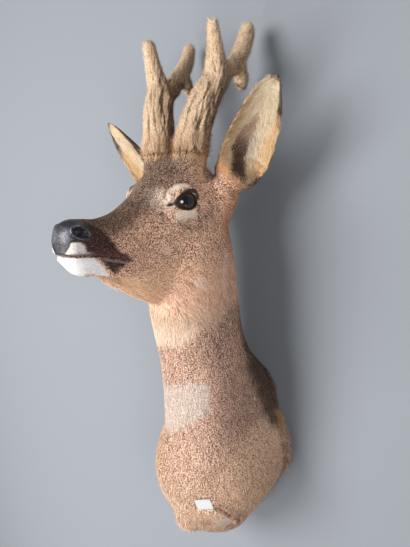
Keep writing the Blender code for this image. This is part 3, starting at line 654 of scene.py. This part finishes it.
# length of the tufts in mm, and how steeply they rise
def coatSize(points, inEars):
    whole = toHead(points)
    spots, side = mirrored(points)
    back, left, up = spots.T
    world = points / mm
    x, y, z = world.T
    onHead = rise(up, -80, 34)
    face = np.interp(back, [0, 30, 70, 110, 150, 190], [2, 2.8, 3.8, 4.8, 7, 9])
    forehead = rise(back, 106, 20) * rise(up, 66, 12) * fall(back, 200, 20)
    under = rise(back, 45, 15) * fall(up, -30, 10) * onHead
    length = mixed(9 + 2.5 * fall(z, 110, 120), face, onHead) + 2.5 * forehead + 3 * under
    lift = 0.17 + 0.2 * forehead + 0.06 * under
    along, across, out = eyeSight(spots)
    length = mixed(length, 2.6, fall(np.hypot(along, across), 22, 8) * (out > -6))
    foot = footShare(spots)
    length, lift = mixed(length, 12, foot), mixed(lift, 0.3, foot)
    ears = earShare(whole)
    tip = np.ones(len(points))
    for name in ("left", "right"):
        share, wide = earSight(whole, name)[:2]
        tip = np.minimum(tip, 1 - 0.6 * ears * rise(share, 0.7, 0.25) * (np.abs(wide) < 34))
    length, lift = mixed(length, (4.2 + 4.6 * inEars) * tip, ears), mixed(lift, 0.14 + 0.06 * inEars, ears)
    fringe = rise(y, -24, 10) * (1 - onHead)
    ragged = fringe * rise(x, 30, 20) * rise(wobble(points, 15), -0.6, 0.8)
    ragged = ragged * fall(z, 66, 16) * rise(z, -30, 30)
    hem = fall(z, -50, 16) * fall(x, 2, 14)
    throat = blob(world, (2, -126, 208), (40, 34, 34))
    beard = blob(spots, (48, 0, -28), (13, 12, 10), 0, 0.4)
    for share, longer, steeper in ((fringe, 0, 0.1), (ragged, 6, 0.4), (hem, 5, 0.2), (throat, 4, 0.07),
                                   (beard, 7, 0.35)):
        length, lift = length + longer * share, lift + steeper * share
    short = np.maximum(fall(awayFromPath(world, chestFold), 10, 5), blob(world, *chestBald, 0, 0.25))
    return length * (1 - 0.6 * short), lift * (1 - 0.3 * short)


# how far the skin lies under the coat's surface, in mm
def coatDepth(points):
    length, lift = coatSize(points, np.zeros(len(points)))
    depth = 0.3 + 0.8 * np.minimum(length, 12) * np.minimum(lift, 0.3)
    return depth * (1 - 0.7 * earShare(toHead(points))) * fall(points[:, 1] / mm, -7, 5)


# Skin

skinSettings = {
    "flesh": ("head", "neck", "torso", "ear_left", "ear_right"),
    "swell": 0.0004,
    "voxel": 0.0014,
    "rounds": 16,  # of smoothing
    "earRounds": 5,
    "eyeRoom": 0.8,  # mm round the eyeball
    "jawAngle": ((108, 34, -48), (26, 22, 26)),  # middle and radii of the part smoothed most
    "jawRounds": 70,
    "kept": 0.27,  # share of the faces that stays
}


def addBall(radius, sign, columns, rows):
    seat = fromHead(np.array(eyeSettings["seat"]) * (1, sign, 1))[0]
    pick([])
    bpy.ops.mesh.primitive_uv_sphere_add(segments=columns, ring_count=rows, radius=radius * mm, location=seat)
    return bpy.context.active_object


def buildSkin():
    parts = [copyNode(name, skinSettings["swell"]) for name in skinSettings["flesh"]]
    parts += [addBall(eyeSettings["radius"] + skinSettings["eyeRoom"], sign, 32, 20) for sign in (1, -1)]
    skin = fuse(parts, "skin", skinSettings["voxel"])
    skin.data.materials.clear()
    ears = earShare(toHead(readPoints(skin)))
    settle(skin, skinSettings["rounds"], 1 - ears)
    settle(skin, skinSettings["earRounds"], ears)
    points, normals = readPoints(skin), readNormals(skin)
    depth = coatDepth(points) * mm + skinSettings["swell"]
    writePoints(skin, points - normals * depth[:, None])
    jaw = blob(mirrored(readPoints(skin))[0], *skinSettings["jawAngle"], 0, 0.5)
    settle(skin, skinSettings["jawRounds"], jaw)
    thin = skin.modifiers.new("thin", "DECIMATE")
    thin.ratio = skinSettings["kept"]
    applyAll(skin)
    refine(skin, nearFeatures)
    refine(skin, nearFeatures)
    sculptFace(skin)
    triangles = sum(len(face.vertices) - 2 for face in skin.data.polygons)
    print("skin:", len(skin.data.vertices), "points,", triangles, "triangles")
    return skin


def nearFeatures(points):
    spots, side = mirrored(points)
    back, left, up = spots.T
    eye = np.linalg.norm(spots - eyeSettings["seat"] - (0, 10, 2), axis=1) < 20
    muzzle = (back < 34) & (up > -16)
    mouth = (np.abs(up - mouthHeight(back)) < 5) & (back < 70)
    return eye | muzzle | mouth


faceForms = {
    # place on the left side, spread and height of each swelling or hollow, in mm
    "brow": ((121, 41, 61), 7, 1.6),
    "lidFold": ((112, 34, 55), 5, -0.9),
    "underLid": ((122, 42, 30), 6, 0.9),
    "tearHollow": ((103, 28, 42), 6, -1.2),
    "lipRear": ((58, 25, -4), 7, 1.2),
    "nostrilWing": ((12, 18, 26), 5, 0.8),
}

eyeFolds = (
    # path and depth
    ([(99, 26, 38), (105, 36, 25), (117, 42, 18), (131, 45, 16)], 0.9),
    ([(108, 27, 54), (120, 36, 60.5), (134, 40, 58)], 0.8),
)

farBrow = ((113, 30, 58), 6, 2.2)

# place, spread and push in mm, in the mount's own axes
chestCorner = ((-12, -106, -76), 17, (-6, -2, -7))

nostrilSettings = {"middle": (12.3, 16.8, 20.0), "long": (0.82, 0.32, -0.47), "radii": (7, 4.4), "steps": 8}


# 1 on the wing round the nostril
def nostrilRing(spots):
    near = spots - nostrilSettings["middle"]
    long = unit(np.array(nostrilSettings["long"]))
    along = near @ long
    aside = np.linalg.norm(near - along[:, None] * long, axis=1)
    length, width = nostrilSettings["radii"]
    return np.hypot(along / length, aside / width)


def sculptFace(skin):
    points = readPoints(skin)
    spots, side = mirrored(points)
    back, left, up = spots.T
    outward = readNormals(skin) @ headAxes()
    outward[:, 1] *= side
    push = np.zeros(len(spots))
    for place, spread, height in faceForms.values():
        push += height * nearPlace(spots, place, spread)

    # the far brow stands out against the wall
    place, spread, height = farBrow
    push += (side < 0) * height * nearPlace(spots, place, spread)
    for path, depth in eyeFolds:
        away = awayFromPath(spots, path)
        push += 0.2 * depth * bell(away, 3.2, 1.6) - depth * bell(away, 0, 1.4)
    away = awayFromPath(points / mm, chestFold)
    push += (up < -150) * (2 * bell(away, 4.5, 2.6) - 3 * bell(away, 0, 2))

    # mouth, and a nose pad that stands a little proud with a crease round it
    above = up - mouthHeight(back)
    groove = 0.7 * bell(above, 3, 1.8) - 2.2 * bell(above, 0, 0.85)
    push += groove * fall(back, 66, 6) * (left < 40)
    pad = padShare(spots)
    push += 0.5 * pad - 0.5 * bell(pad, 0.5, 0.25) * (back < 34)

    # nostrils
    deep = np.zeros(len(spots))
    for t in np.linspace(0, 1, nostrilSettings["steps"] + 1):
        place = (9.8 + 8.7 * t, 15.2 + 4.6 * t, 20.6 - 4.4 * t * t)
        deep = np.maximum(deep, (6 - 4 * t) * nearPlace(spots, place, 3 - 1.7 * t))
    push += bell(nostrilRing(spots), 1.2, 0.16) * (back < 26) - deep

    # corner at the foot of the chest
    place, spread, shift = chestCorner
    moved = nearPlace(points / mm, place, spread)[:, None] * (np.array(shift) @ headAxes())
    moved[:, 1] *= side
    shaped = spots + outward * push[:, None] + moved

    # lids
    out = eyeAxes()[2]
    along, upward, high = eyeSight(shaped)
    ring, wide, radius = openingShare(along, upward), np.hypot(along, upward), eyeSettings["radius"]
    ball = np.sqrt(np.clip(radius ** 2 - along ** 2 - upward ** 2, 0, None))
    lid = ball + eyeSettings["lid"] * rise(ring, 0.94, 0.14) - 0.7 * bell(ring, 1.45, 0.12) * (upward > 0)
    inside = 1 - rise(ring, 0.93, 0.08)
    target = np.where(inside > 0, mixed(lid, ball - 4, inside), np.maximum(lid, high))
    reach = (1 - rise(wide, radius, 4)) * (high > 0)
    shaped += (reach * (target - high))[:, None] * out
    shaped[:, 1] *= side
    writePoints(skin, np.where((back < 230)[:, None], fromHead(shaped), points))


def unwrap(thing):
    pick([thing])
    bpy.ops.object.mode_set(mode="EDIT")
    bpy.ops.mesh.select_all(action="SELECT")
    bpy.ops.uv.smart_project(angle_limit=math.radians(66), island_margin=0.002)
    bpy.ops.object.mode_set(mode="OBJECT")
    thing.data.uv_layers[0].name = "OFBake"


# one value or colour for each point
def setValues(thing, name, values):
    if values.ndim == 1:
        made = thing.data.attributes.new(name, "FLOAT", "POINT")
        made.data.foreach_set("value", values.astype(np.float32))
    else:
        made = thing.data.attributes.new(name, "FLOAT_COLOR", "POINT")
        full = np.ones((len(values), 4), np.float32)
        full[:, :3] = values
        made.data.foreach_set("color", full.ravel())


def dressSkin(skin):
    look = coatLook(readPoints(skin), readNormals(skin))
    for name in ("marking", "fleck", "wet"):
        setValues(skin, name, look[name])


# Tufts

# places on the surface, more where the density is higher
def scatter(surface, count, density):
    data = surface.data
    data.calc_loop_triangles()
    corners, loops = (readArray(data.loop_triangles, key, 3, np.int32) for key in ("vertices", "loops"))
    points = readPoints(surface)
    a, b, c = (points[corners[:, k]] for k in range(3))
    across = np.cross(b - a, c - a)
    weight = 0.5 * np.linalg.norm(across, axis=1) * density((a + b + c) / 3, unit(across))
    chosen = random.choice(len(corners), count, p=weight / weight.sum())
    share = random.random((count, 2))
    turned = share.sum(axis=1) > 1
    share[turned] = 1 - share[turned]
    share = np.column_stack([1 - share.sum(axis=1), share])
    def spread(values, index):
        return sum(values[index[chosen, k]] * share[:, k:k + 1] for k in range(3))
    maps = readArray(data.uv_layers["OFBake"].data, "uv", 2)
    return spread(points, corners), unit(spread(readNormals(surface), corners)), spread(maps, loops)


tuftSettings = {
    "buried": 0.05,  # share of the length that stands behind the root
    "sunk": 0.0002,
    "half": 0.5,  # half width and thickness as shares of the width
    "thick": 0.32,
    "bend": 0.09,
    "patch": 0.0015,  # half the size of a tuft's patch on the unwrap
    "faces": ((0, 2, 1), (0, 1, 3), (1, 2, 3), (2, 0, 3)),
}


# closed three-sided tufts that taper to a point: arrays in metres
def growTufts(name, roots, normals, ways, maps, length, width, lift, colours, fleck, tone, shading=0.4):
    count = len(roots)
    across = np.cross(normals, ways)
    bend = random.normal(0, tuftSettings["bend"], count)
    roots = roots - tuftSettings["sunk"] * normals
    foot = roots - ways * (tuftSettings["buried"] * length)[:, None]
    side = across * (tuftSettings["half"] * width)[:, None]
    thick = normals * (tuftSettings["thick"] * width)[:, None]
    tip = foot + (ways + normals * lift[:, None] + across * bend[:, None]) * length[:, None]
    points = np.stack([foot - side, foot + side, foot + thick, tip], axis=1)
    uv = maps[:, None] + tuftSettings["patch"] * np.array([(-1, -1), (1, -1), (0, -1), (0, 1)])
    index = (np.arange(count)[:, None, None] * 4 + np.array(tuftSettings["faces"])).reshape(-1, 3)
    mesh = bpy.data.meshes.new(name)
    mesh.vertices.add(count * 4)
    mesh.vertices.foreach_set("co", points.astype(np.float32).ravel())
    mesh.loops.add(index.size)
    mesh.loops.foreach_set("vertex_index", index.ravel().astype(np.int32))
    mesh.polygons.add(len(index))
    mesh.polygons.foreach_set("loop_start", (np.arange(len(index)) * 3).astype(np.int32))
    mesh.update(calc_edges=True)
    mesh.validate()
    mesh.shade_smooth()
    layer = mesh.uv_layers.new(name="OFBake")
    layer.data.foreach_set("uv", uv.reshape(-1, 2)[index.ravel()].astype(np.float32).ravel())
    made = bpy.data.objects.new(name, mesh)
    scene.collection.objects.link(made)
    # light falls on fine hairs much as on the skin below
    soft = unit(np.repeat(normals, 4, axis=0) + shading * readNormals(made))
    mesh.normals_split_custom_set_from_vertices(soft.tolist())
    setValues(made, "marking", np.repeat(colours, 4, axis=0))
    setValues(made, "fleck", np.repeat(fleck, 4))
    setValues(made, "strand", np.tile([0, 0, 0, 1], count))
    setValues(made, "tone", np.repeat(tone, 4))
    return made


coatSettings = {
    "face": 96000,  # tufts
    "ears": 42000,
    "body": 175000,
    "grain": 840,  # of the flecks
    "lengths": (0.75, 1.15),  # spread of the tufts' sizes
    "widths": (0.8, 1.15),
    "lifts": (0.45, 1.15),
    "unrest": 0.17,  # spread of their direction
    "dark": 0.24,  # shares of dark and light tufts where the flecks are strong
    "light": 0.24,
    "mostTriangles": 190000,  # in one piece
    "cut": 0.0015,  # hairless edge along the wall
    "hiddenBack": 0.030,  # no hair on faces that look at the wall from nearer than this
    "flatBack": 0.0008,  # no hair reaches nearer to the wall
}


# tufts of three kinds, as in a coat of banded hairs
def tuftTone(fleck, count):
    kind = random.random(count)
    dark, light = random.uniform(0.36, 0.62, count), random.uniform(1.15, 1.5, count)
    plain = 1 + (0.28 - 0.14 * np.minimum(fleck, 1)) * random.normal(size=count)
    tone = np.where(kind < coatSettings["dark"] * fleck, dark, plain)
    return np.where(kind > 1 - coatSettings["light"] * fleck, light, tone)


def faceDensity(points, normals):
    length, lift = coatSize(points, np.zeros(len(points)))
    whole = toHead(points)
    return rise(whole[:, 2], -84, 26) * (1 - earShare(whole)) / (0.3 + length)


def earDensity(points, normals):
    return earShare(toHead(points))


def bodyDensity(points, normals):
    cut = points[:, 1] < -coatSettings["cut"]
    hidden = (normals[:, 1] > 0.9) & (points[:, 1] > -coatSettings["hiddenBack"])
    return fall(toHead(points)[:, 2], -54, 26) * cut * ~hidden


def growCoat(skin):
    pieces = []
    for part, density in (("face", faceDensity), ("ears", earDensity), ("body", bodyDensity)):
        roots, normals, maps = scatter(skin, coatSettings[part], density)
        look = coatLook(roots, normals)
        keep = look["bare"] < 0.4 + 0.3 * random.random(len(roots))
        keep &= labelRoom(roots) > 0.1
        roots, normals, maps, colour, fleck, inEars = (
            values[keep] for values in (roots, normals, maps, look["marking"], look["fleck"], look["inEars"]))
        length, lift = coatSize(roots, inEars)
        width = 0.42 + 0.045 * np.minimum(length, 11.5)
        count = len(roots)
        length = length * random.uniform(*coatSettings["lengths"], count) * labelRoom(roots)
        width = width * random.uniform(*coatSettings["widths"], count)
        lift = lift * random.uniform(*coatSettings["lifts"], count)
        drift = 0.16 * wobble(roots, 24) + 0.1 * wobble(roots, 9)
        angle = (random.normal(0, coatSettings["unrest"], count) + drift)[:, None]
        ways = lieOfCoat(roots, normals, inEars)
        ways = ways * np.cos(angle) + np.cross(normals, ways) * np.sin(angle)
        tone = tuftTone(fleck, count)
        tufts = (roots, normals, ways, maps, length * mm, width * mm, lift, colour, fleck, tone)
        groups = math.ceil(count * len(tuftSettings["faces"]) / coatSettings["mostTriangles"])
        for number, group in enumerate(np.array_split(np.argsort(-roots[:, 2]), groups), 1):
            name = "coat" + part.capitalize() + (str(number) if groups > 1 else "")
            pieces.append(growTufts(name, *(values[group] for values in tufts)))
        print("coat of the", part + ":", count, "tufts")
    for piece in pieces:
        points = readPoints(piece)
        points[:, 1] = np.minimum(points[:, 1], -coatSettings["flatBack"])
        writePoints(piece, points)
    return pieces


labelSettings = {"beside": 0.0012, "behind": 0.02, "above": 0.013}


# share of their length that tufts keep above the label, none behind it
def labelRoom(roots):
    low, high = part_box("label")
    beside, behind, above = labelSettings.values()
    x, y, z = roots.T
    near = (x > low.x - beside) & (x < high.x + beside) & (y < high.y + behind)
    near &= (z > low.z - beside) & (z < high.z + above)
    return np.where(near, np.clip((z - high.z) / above, 0, 1), 1)


# Materials

def newMaterial(name, roughness, specular=0.5):
    made = bpy.data.materials.new(name)
    made.use_nodes = True
    shader = made.node_tree.nodes["Principled BSDF"]
    shader.inputs["Roughness"].default_value = roughness
    shader.inputs["Specular IOR Level"].default_value = specular
    return made, made.node_tree, shader


# values and links for some of a node's sockets
def plug(tree, node, sockets):
    for name, value in sockets.items():
        if isinstance(value, bpy.types.NodeSocket):
            tree.links.new(value, node.inputs[name])
        else:
            node.inputs[name].default_value = value


def addNode(tree, kind, sockets, **choices):
    made = tree.nodes.new("ShaderNode" + kind)
    for choice, value in choices.items():
        setattr(made, choice, value)
    plug(tree, made, sockets)
    return made


def attribute(tree, name, output="Fac"):
    return addNode(tree, "Attribute", {}, attribute_name=name).outputs[output]


# a noise between two colours, each from its own level
def noiseColour(tree, vector, scale, stops, detail=2):
    noise = addNode(tree, "TexNoise", {"Vector": vector, "Scale": scale, "Detail": detail})
    ramp = addNode(tree, "ValToRGB", {"Fac": noise.outputs["Fac"]})
    for made, (position, colour) in zip(ramp.color_ramp.elements, stops):
        made.position, made.color = position, (*colour, 1)
    return ramp.outputs["Color"]


def objectPlace(tree):
    return addNode(tree, "TexCoord", {}).outputs["Object"]


# banded hairs seen together: dark and light flecks over the marking
def grizzleGroup():
    tree = bpy.data.node_groups.new("grizzle", "ShaderNodeTree")
    for name in ("Marking", "Fleck", "Strand", "Tone", "Scale"):
        kind = "NodeSocketColor" if name == "Marking" else "NodeSocketFloat"
        tree.interface.new_socket(name, in_out="INPUT", socket_type=kind)
    tree.interface.new_socket("Color", in_out="OUTPUT", socket_type="NodeSocketColor")
    entry = tree.nodes.new("NodeGroupInput").outputs
    leave = tree.nodes.new("NodeGroupOutput")
    grain = addNode(tree, "TexNoise", {"Vector": objectPlace(tree), "Scale": entry["Scale"], "Detail": 1,
                                       "Roughness": 0.6}).outputs["Fac"]
    def combine(operation, first, second):
        return addNode(tree, "Math", {0: first, 1: second}, operation=operation).outputs[0]
    def shares(low, high, share):
        ramp = addNode(tree, "MapRange", {"Value": grain, "From Min": low, "From Max": high, "To Max": share})
        return combine("MULTIPLY", ramp.outputs["Result"], entry["Fleck"])
    def blend(kind, share, first, tint):
        return addNode(tree, "Mix", {"Factor": share, "A": first, "B": tint}, data_type="RGBA",
                       blend_type=kind).outputs["Result"]
    dark = blend("MULTIPLY", shares(0.515, 0.45, 1), entry["Marking"], (0.20, 0.115, 0.085, 1))
    band = addNode(tree, "ValToRGB", {"Fac": entry["Strand"]})
    stops = band.color_ramp.elements
    for place, grey in ((0.3, 0.80), (0.55, 0.70), (0.78, 1)):
        stops.new(place).color = (grey, grey, grey, 1)
    stops[0].color = (0.60, 0.60, 0.60, 1)
    stops[-1].color = (1, 1, 1, 1)
    level = combine("MULTIPLY", band.outputs["Color"], combine("MINIMUM", entry["Tone"], 1))
    toned = addNode(tree, "VectorMath", {0: dark, "Scale": level}, operation="SCALE").outputs["Vector"]
    extra = combine("MAXIMUM", combine("SUBTRACT", entry["Tone"], 1), 0)
    extra = combine("MULTIPLY", extra, entry["Fleck"])
    light = combine("MINIMUM", combine("ADD", extra, shares(0.54, 0.59, 0.42)), 0.7)
    plug(tree, leave, {"Color": blend("MIX", light, toned, (0.93, 0.66, 0.48, 1))})
    return tree


# strand and tone are attributes of the tufts, and plain values on the skin
def grizzle(tree, shader, group, grain, strand, tone):
    marking, fleck = attribute(tree, "marking", "Color"), attribute(tree, "fleck")
    made = addNode(tree, "Group", {}, node_tree=group)
    plug(tree, made, {"Marking": marking, "Fleck": fleck, "Strand": strand, "Tone": tone, "Scale": grain})
    plug(tree, shader, {"Base Color": made.outputs["Color"]})


def furMaterial(name, group, grain):
    made, tree, shader = newMaterial(name, 0.72, 0.12)
    grizzle(tree, shader, group, grain, attribute(tree, "strand"), attribute(tree, "tone"))
    return made


def skinMaterial(name, group, grain):
    made, tree, shader = newMaterial(name, 0.8, 0.24)
    grizzle(tree, shader, group, grain, 0.5, 1)
    gloss = addNode(tree, "MapRange", {"Value": attribute(tree, "wet"), "To Min": 0.85, "To Max": 0.3})
    pebbles = addNode(tree, "TexVoronoi", {"Vector": objectPlace(tree), "Scale": 900})
    bump = addNode(tree, "Bump", {"Height": pebbles.outputs["Distance"], "Distance": 0.0003, "Strength": 0.7})
    plug(tree, shader, {"Roughness": gloss.outputs["Result"], "Normal": bump.outputs["Normal"]})
    return made


def setMaterial(thing, material):
    thing.data.materials.clear()
    thing.data.materials.append(material)


# Eyes

def buildEye(name, sign):
    made = addBall(eyeSettings["radius"], sign, 80, 56)
    made.name = name
    bpy.ops.object.transform_apply(location=True, rotation=True, scale=True)
    bpy.ops.object.shade_smooth()

    # brown iris round a lying pupil
    along, upward, high = (part / eyeSettings["radius"] for part in eyeSight(mirrored(readPoints(made))[0]))
    length, height = eyeSettings["pupil"]
    iris = rise(np.hypot(along / length, upward / height), 0.9, 0.3)
    setValues(made, "iris", iris * fall(np.hypot(along, upward), eyeSettings["iris"], 0.12) * (high > 0))
    return made


def eyeMaterial():
    made, tree, shader = newMaterial("darkEyeGlass", 0.04)
    stops = ((0, (0.012, 0.006, 0.005)), (1, (0.045, 0.020, 0.012)))
    brown = noiseColour(tree, objectPlace(tree), 900, stops)
    black, iris = (0.004, 0.0035, 0.006, 1), attribute(tree, "iris")
    mix = addNode(tree, "Mix", {"Factor": iris, "A": black, "B": brown}, data_type="RGBA")
    plug(tree, shader, {"Base Color": mix.outputs["Result"]})
    return made


# Antlers

def buildAntler(name, side):
    parts = [copyNode("antler_" + side + end, antlerSettings["swell"]) for end in antlerSettings["lengths"]]
    made = fuse(parts, name, antlerSettings["voxel"])
    relax = made.modifiers.new("settle", "SMOOTH")
    relax.factor = 0.5
    relax.iterations = antlerSettings["rounds"]
    applyAll(made)
    made.data.shade_smooth()
    points = readPoints(made)
    spots = toHead(points)
    (slimFork, slimTine), (spur, spread, height) = antlerSettings["slim"][side], antlerSettings["spur"]
    thinner = np.maximum(slimFork * rise(spots[:, 2], 172, 34), slimTine * rise(spots[:, 0], 176, 10))
    thinner = thinner - height * nearPlace(spots, spur, spread)
    ridges = (antlerSettings["ridges"] * (antlerRelief(points) - 0.85) - 0.3 - thinner) * mm
    writePoints(made, points + readNormals(made) * ridges[:, None])
    return made


# 0 in the wrinkles that run along the velvet, near 1 on the folds between them
def antlerRelief(points):
    back, left, up = mirrored(points)[0].T
    heights = [80, 112, 143, 172, 200, 240]
    turn = np.arctan2(back - np.interp(up, heights, [152, 156, 163, 174, 173, 168]),
                      left - np.interp(up, heights, [22.5, 24, 31, 40, 42, 43]))
    warp = 0.7 * wobble(points, 40) + 0.02 * up
    wide = bell(np.sin(3.5 * turn + warp), 0, 0.3)
    narrow = bell(np.sin(6 * turn - 1.5 * warp + 1), 0, 0.35)
    worn = 0.3 + 0.7 * fall(up, 215, 60)
    lumps = 0.14 * wobble(points * (1, 1, 0.5), 12) + 0.1 * wobble(points[:, [1, 2, 0]] * (1, 0.6, 1), 5)
    return 1 - worn * (0.5 * wide + 0.4 * narrow) + lumps


# velvet colour, with painted shade on the sides away from the light, on the sides that face the other antler
# and in the wrinkles
def antlerColour(points, normals):
    spots, side = mirrored(points)
    left = side > 0
    facing = normals[:, 0] + 0.6 * normals[:, 1]
    low = fall(points[:, 2] / mm, 490, 60)
    edge = rise(facing + 0.2 * wobble(points, 7), np.where(left, 0.76, 0.6), 0.25)
    colour = painted(points, "velvet")
    inner = fall((normals @ headAxes()[:, 1]) * side, 0, 0.8)
    # painted shade on the side that faces the other antler
    over(colour, np.where(left, 0.45, 0.15) * inner, "velvetShadeInner")
    # painted shade on the sides away from the light, deeper lower down, over velvet that is darker towards
    # the back
    over(colour, (0.4 + 0.45 * low) * rise(facing + 0.16 * wobble(points, 9), 0.4, 0.5), "velvetShadeRear")
    # painted shade, near black, along the edge away from the light, lower down
    over(colour, edge * low * np.where(left, 0.7, 0.85), "velvetShadeEdge")
    # painted shade in the wrinkles
    over(colour, 0.95 * fall(antlerRelief(points), 0.85, 0.4), "velvetWrinkleShade")
    over(colour, 0.35 * fall(spots[:, 2], 126, 26), "velvetFoot")
    over(colour, 0.25 * smoothStep(wobble(points, 21)), "velvetPatch")
    return colour


velvetSettings = {
    "tufts": 26000,
    "grain": 700,
    "fleck": 0.4,
    "lengths": (1.8, 3.8),  # mm
    "footLonger": 1.4,  # longer at the antler's foot by this share
    "widths": (0.35, 0.6),
    "lifts": (0.3, 1.2),
    "unrest": 0.28,
    "tones": 0.24,
    "shading": 1.3,  # share of the hair's own shape in its shading
}


def growVelvet(name, antler):
    unwrap(antler)
    count, unrest = velvetSettings["tufts"], velvetSettings["unrest"]
    roots, normals, maps = scatter(antler, count, lambda points, normals: np.ones(len(points)))
    ways = laid(np.tile(headAxes()[:, 2], (count, 1)) + unrest * random.normal(size=(count, 3)), normals)
    low = fall(toHead(roots)[:, 2], 122, 26)
    length = random.uniform(*velvetSettings["lengths"], count) * (1 + velvetSettings["footLonger"] * low)
    width = random.uniform(*velvetSettings["widths"], count)
    lift = random.uniform(*velvetSettings["lifts"], count)
    tone = random.normal(1, velvetSettings["tones"], count)
    colour, fleck = antlerColour(roots, normals), 0.45 + 0.1 * low
    return growTufts(name, roots, normals, ways, maps, length * mm, width * mm, lift, colour, fleck, tone,
                     velvetSettings["shading"])


# Board, label and stage

def woodMaterial():
    made, tree, shader = newMaterial("stainedBoard", 0.5)
    stretch = addNode(tree, "Mapping", {"Vector": objectPlace(tree), "Scale": (60, 60, 6)}).outputs["Vector"]
    stops = ((0.35, (0.10, 0.045, 0.02)), (0.7, (0.27, 0.14, 0.065)))
    plug(tree, shader, {"Base Color": noiseColour(tree, stretch, 4, stops, 6)})
    return made


def paperMaterial():
    made, tree, shader = newMaterial("blankPaper", 0.6)
    stops = ((0, (0.34, 0.35, 0.35)), (1, (0.42, 0.42, 0.41)))
    plug(tree, shader, {"Base Color": noiseColour(tree, objectPlace(tree), 700, stops)})
    return made


# pale and plain, and clear from behind so that the back can be seen
def stageMaterial():
    made, tree, shader = newMaterial("paleStage", 0.9)
    shader.inputs["Base Color"].default_value = (0.155, 0.165, 0.18, 1)
    clear = addNode(tree, "BsdfTransparent", {}).outputs["BSDF"]
    behind = addNode(tree, "NewGeometry", {}).outputs["Backfacing"]
    mix = addNode(tree, "MixShader", {"Fac": behind, 1: shader.outputs["BSDF"], 2: clear})
    plug(tree, tree.nodes["Material Output"], {"Surface": mix.outputs["Shader"]})
    return made


stageSettings = {
    "directions": 72,  # corners of the opening
    "inset": 0.0015,
    "gap": 0.0004,
    "wallReach": 4,
    "floor": -1.3,
    "floorSize": 6,
}


# the board's outline seen from behind, a little inside it, where the wall is left open
def wallOpening():
    flat = readPoints(frame["nodes"]["board"])[:, [0, 2]]
    middle = 0.5 * (flat.min(axis=0) + flat.max(axis=0))
    turns = np.linspace(0, 2 * math.pi, stageSettings["directions"], endpoint=False)
    ways = np.column_stack([np.cos(turns), np.sin(turns)])
    span = ((flat - middle) @ ways.T).max(axis=0) - stageSettings["inset"]
    facing = ways @ ways.T
    reach = np.where(facing > 0.2, span / np.maximum(facing, 0.2), np.inf).min(axis=1)
    spots = middle + ways * reach[:, None]
    return np.column_stack([spots[:, 0], np.zeros(len(spots)), spots[:, 1]])


def buildStage():
    rim = wallOpening()
    pick([])
    bpy.ops.mesh.primitive_circle_add(vertices=len(rim), radius=1, fill_type="NOTHING")
    wall = bpy.context.active_object
    wall.name = "wall"
    bpy.ops.object.mode_set(mode="EDIT")
    bpy.ops.mesh.select_all(action="SELECT")
    bpy.ops.mesh.extrude_edges_move()
    bpy.ops.object.mode_set(mode="OBJECT")
    far = stageSettings["wallReach"] * unit(rim - rim.mean(axis=0))
    writePoints(wall, np.concatenate([rim, far]) + (0, stageSettings["gap"], 0))
    if wall.data.polygons[0].normal.y > 0:
        wall.data.flip_normals()
    pick([])
    bpy.ops.mesh.primitive_plane_add(size=stageSettings["floorSize"], location=(0, 0, stageSettings["floor"]))
    floor = bpy.context.active_object
    floor.name = "floor"
    look = stageMaterial()
    for thing in (wall, floor):
        setMaterial(thing, look)


lightSettings = {
    # place, size in metres and power in watts of each soft light
    "soft": {
        "key": ((-0.62, -1.3, 0.48), 0.9, 40),
        "low": ((-0.40, -1.0, -0.75), 0.9, 19),
        "window": ((0.85, -0.84, 0.39), 0.45, 7.5),
        "lamp": ((0.9, -0.2, -0.1), 0.12, 0.4),
    },
    "aim": (-0.01, -0.12, 0.18),
    "world": (0.93, 0.96, 1.0, 1.0),
    "strength": 0.25,
}


def addLights():
    aim = Vector(lightSettings["aim"])
    for name, (place, size, power) in lightSettings["soft"].items():
        data = bpy.data.lights.new(name, "AREA")
        data.shape = "DISK"
        data.size = size
        data.energy = power
        made = bpy.data.objects.new(name, data)
        scene.collection.objects.link(made)
        made.location = place
        made.rotation_euler = (aim - Vector(place)).to_track_quat("-Z", "Y").to_euler()
    world = bpy.data.worlds.new("studio")
    world.use_nodes = True
    sky = world.node_tree.nodes["Background"].inputs
    sky["Color"].default_value = lightSettings["world"]
    sky["Strength"].default_value = lightSettings["strength"]
    scene.world = world
    scene.view_settings.view_transform = "Standard"


# The whole mount

def main():
    addCamera()
    buildStage()
    addLights()
    group = grizzleGroup()
    skin = buildSkin()
    skin.data.shade_smooth()
    unwrap(skin)
    dressSkin(skin)
    setMaterial(skin, skinMaterial("skinUnderCoat", group, coatSettings["grain"]))
    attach(skin, "root")
    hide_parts(*skinSettings["flesh"])
    fur = furMaterial("grizzledCoat", group, coatSettings["grain"])
    for piece in growCoat(skin):
        setMaterial(piece, fur)
        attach(piece, "root")

    glass = eyeMaterial()
    for name, node, sign in (("eyeLeft", "eye_left", 1), ("eyeRight", "eye_right", -1)):
        eye = buildEye(name, sign)
        setMaterial(eye, glass)
        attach(eye, "root")
        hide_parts(node)
    print("eyes")

    velvet = furMaterial("velvetFuzz", group, velvetSettings["grain"])
    hide = skinMaterial("velvetHide", group, velvetSettings["grain"])
    for name, side in (("antlerLeft", "left"), ("antlerRight", "right")):
        antler = buildAntler(name, side)
        fuzz = growVelvet("velvet" + side.capitalize(), antler)
        setValues(antler, "marking", antlerColour(readPoints(antler), readNormals(antler)))
        setValues(antler, "fleck", np.full(len(antler.data.vertices), velvetSettings["fleck"]))
        setMaterial(antler, hide)
        setMaterial(fuzz, velvet)
        for piece in (antler, fuzz):
            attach(piece, "root")
        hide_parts(*["antler_" + side + end for end in antlerSettings["lengths"]])
    print("antlers")

    setMaterial(frame["nodes"]["board"], woodMaterial())
    setMaterial(frame["nodes"]["label"], paperMaterial())


main()
